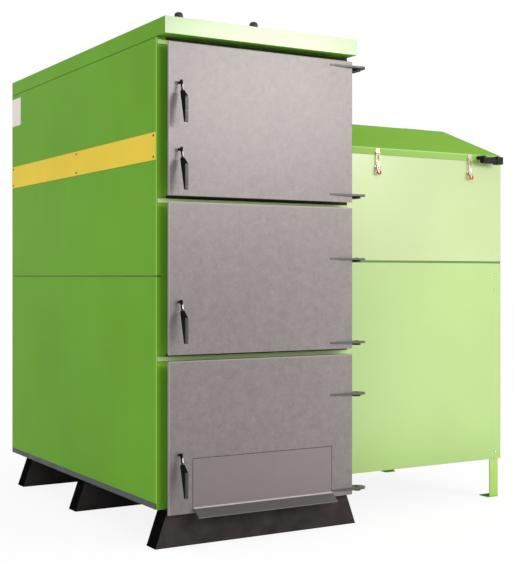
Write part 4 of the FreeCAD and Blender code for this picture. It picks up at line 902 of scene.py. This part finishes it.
def make_frame_bars():
    """A pale bar across the casing's front over each door, and a dark strip between it and the next door that
    is a painted shadow in the gap.
    """
    levels = [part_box(f"{door}_door_panel") for door in DOORS]
    gap = levels[1][0].z - levels[0][1].z
    low = (panel_low.x + BAR_MARGIN, panel_low.y - BAR_STAND)
    high = (-panel_low.x - BAR_MARGIN, panel_low.y)
    dark_low = (door_low.x + SHADOW_STRIP_INSET, panel_low.y - SHADOW_STRIP_STAND)
    dark_high = (high[0], panel_low.y)
    pale = []
    dark = []
    for _, top in levels:
        split = top.z + BAR_SHARE * gap
        pale.append(block((*low, top.z - BAR_MARGIN), (*high, split)))
        dark.append(block((*dark_low, split), (*dark_high, top.z + gap + BAR_MARGIN)))
    make_piece("frame_bars", *join_shapes(pale), BAR_COAT, "boiler", "casing_green")
    # Dark strips in the upper part of each gap, a painted shadow
    make_piece("frame_gap_shadows", *join_shapes(dark), MATERIALS["base_dark"], "boiler", "base_dark")


for door in DOORS:
    make_rope_seal(door)
make_screw_heads()
make_riser_caps()
make_frame_bars()
for hand in HANDS:
    make_latch_lever(hand)
for handle in HANDLES:
    make_neck_strip(handle)


# Floor, light and camera
FLOOR_SIZE = 60.0
FLOOR_DROP = 0.0005
FLOOR_MATT = (0.95, 0.95, 0.95, 1.0)
FLOOR_GLOW_SHARE = 0.88
WHITE = (1.0, 1.0, 1.0, 1.0)
FILL_COLOUR = (0.96, 0.98, 1.0, 1.0)
FILL_STRENGTH = 0.95
LAMP_COLOUR = (1.0, 0.95, 0.90)

# The name, place, aim, width, height and power of each softbox
SOFTBOXES = [
    ("front_key", (0.3, -6.2, 2.1), (0.1, -0.8, 1.1), 0.6, 0.6, 34.0),
    ("door_sheen", (2.45, -5.2, 2.7), (0.0, -0.9, 1.5), 1.9, 0.9, 115.0),
    ("hopper_sheen", (2.5, -2.4, 0.92), (2.5, -0.7, 0.92), 2.0, 2.0, 20.5),
]


def blend_to_output(tree, factor, first, second, output):
    """Mix two shaders by a factor and send the result to an output node."""
    blend = tree.nodes.new("ShaderNodeMixShader")
    for socket, value in zip(blend.inputs, (factor, first.outputs[0], second.outputs[0])):
        tree.links.new(value, socket)
    out = tree.nodes.new(output)
    tree.links.new(blend.outputs[0], out.inputs["Surface"])


def make_floor():
    """A plain white floor that reads as the white backdrop and keeps a faint shadow."""
    bpy.ops.mesh.primitive_plane_add(size=FLOOR_SIZE, location=(0.0, 0.0, -FLOOR_DROP))
    floor = bpy.context.object
    floor.name = "floor"
    material = bpy.data.materials.new("floor_white")
    material.use_nodes = True
    tree = material.node_tree
    tree.nodes.clear()
    path = tree.nodes.new("ShaderNodeLightPath")
    matt = add(tree, "ShaderNodeBsdfDiffuse", Color=FLOOR_MATT)
    glow = add(tree, "ShaderNodeEmission", Color=WHITE, Strength=1.0)
    seen = times(tree, path.outputs["Is Camera Ray"], FLOOR_GLOW_SHARE)
    blend_to_output(tree, seen, matt, glow, "ShaderNodeOutputMaterial")
    dress(floor, material)


def make_world():
    """White behind the object, and an even fill light on it."""
    world = bpy.data.worlds.new("studio")
    bpy.context.scene.world = world
    world.use_nodes = True
    tree = world.node_tree
    tree.nodes.clear()
    path = tree.nodes.new("ShaderNodeLightPath")
    soft = add(tree, "ShaderNodeBackground", Color=FILL_COLOUR, Strength=FILL_STRENGTH)
    white = add(tree, "ShaderNodeBackground", Color=WHITE, Strength=1.0)
    through = arithmetic(tree, "MAXIMUM", path.outputs["Is Camera Ray"], path.outputs["Is Transmission Ray"])
    seen = arithmetic(tree, "MAXIMUM", through, path.outputs["Is Glossy Ray"])
    blend_to_output(tree, seen, soft, white, "ShaderNodeOutputWorld")


def make_softbox(name, place, target, width, height, power):
    """A rectangular lamp that lights the part and doesn't show in the picture."""
    lamp = bpy.data.lights.new(name, "AREA")
    lamp.shape = "RECTANGLE"
    lamp.size = width
    lamp.size_y = height
    lamp.energy = power
    lamp.color = LAMP_COLOUR
    holder = bpy.data.objects.new(name, lamp)
    bpy.context.scene.collection.objects.link(holder)
    holder.location = place
    holder.visible_camera = False
    aim = Vector(target) - Vector(place)
    holder.rotation_euler = aim.to_track_quat("-Z", "Y").to_euler()


def make_camera():
    """The photograph's camera, level, with the horizon moved by a lens shift."""
    lens = bpy.data.cameras.new("photo_camera")
    lens.sensor_fit = "VERTICAL"
    lens.sensor_height = SENSOR
    lens.lens = SENSOR * FOCAL_PIXELS / PHOTO_HEIGHT
    lens.shift_y = -HORIZON_ABOVE_CENTRE / PHOTO_HEIGHT
    camera = bpy.data.objects.new("photo_camera", lens)
    bpy.context.scene.collection.objects.link(camera)
    camera.location = CAMERA_PLACE
    camera.rotation_euler = Vector(VIEW_DIRECTION).to_track_quat("-Z", "Y").to_euler()
    bpy.context.scene.camera = camera


make_floor()
make_world()
for softbox in SOFTBOXES:
    make_softbox(*softbox)
make_camera()
bpy.context.scene.view_settings.view_transform = "Standard"
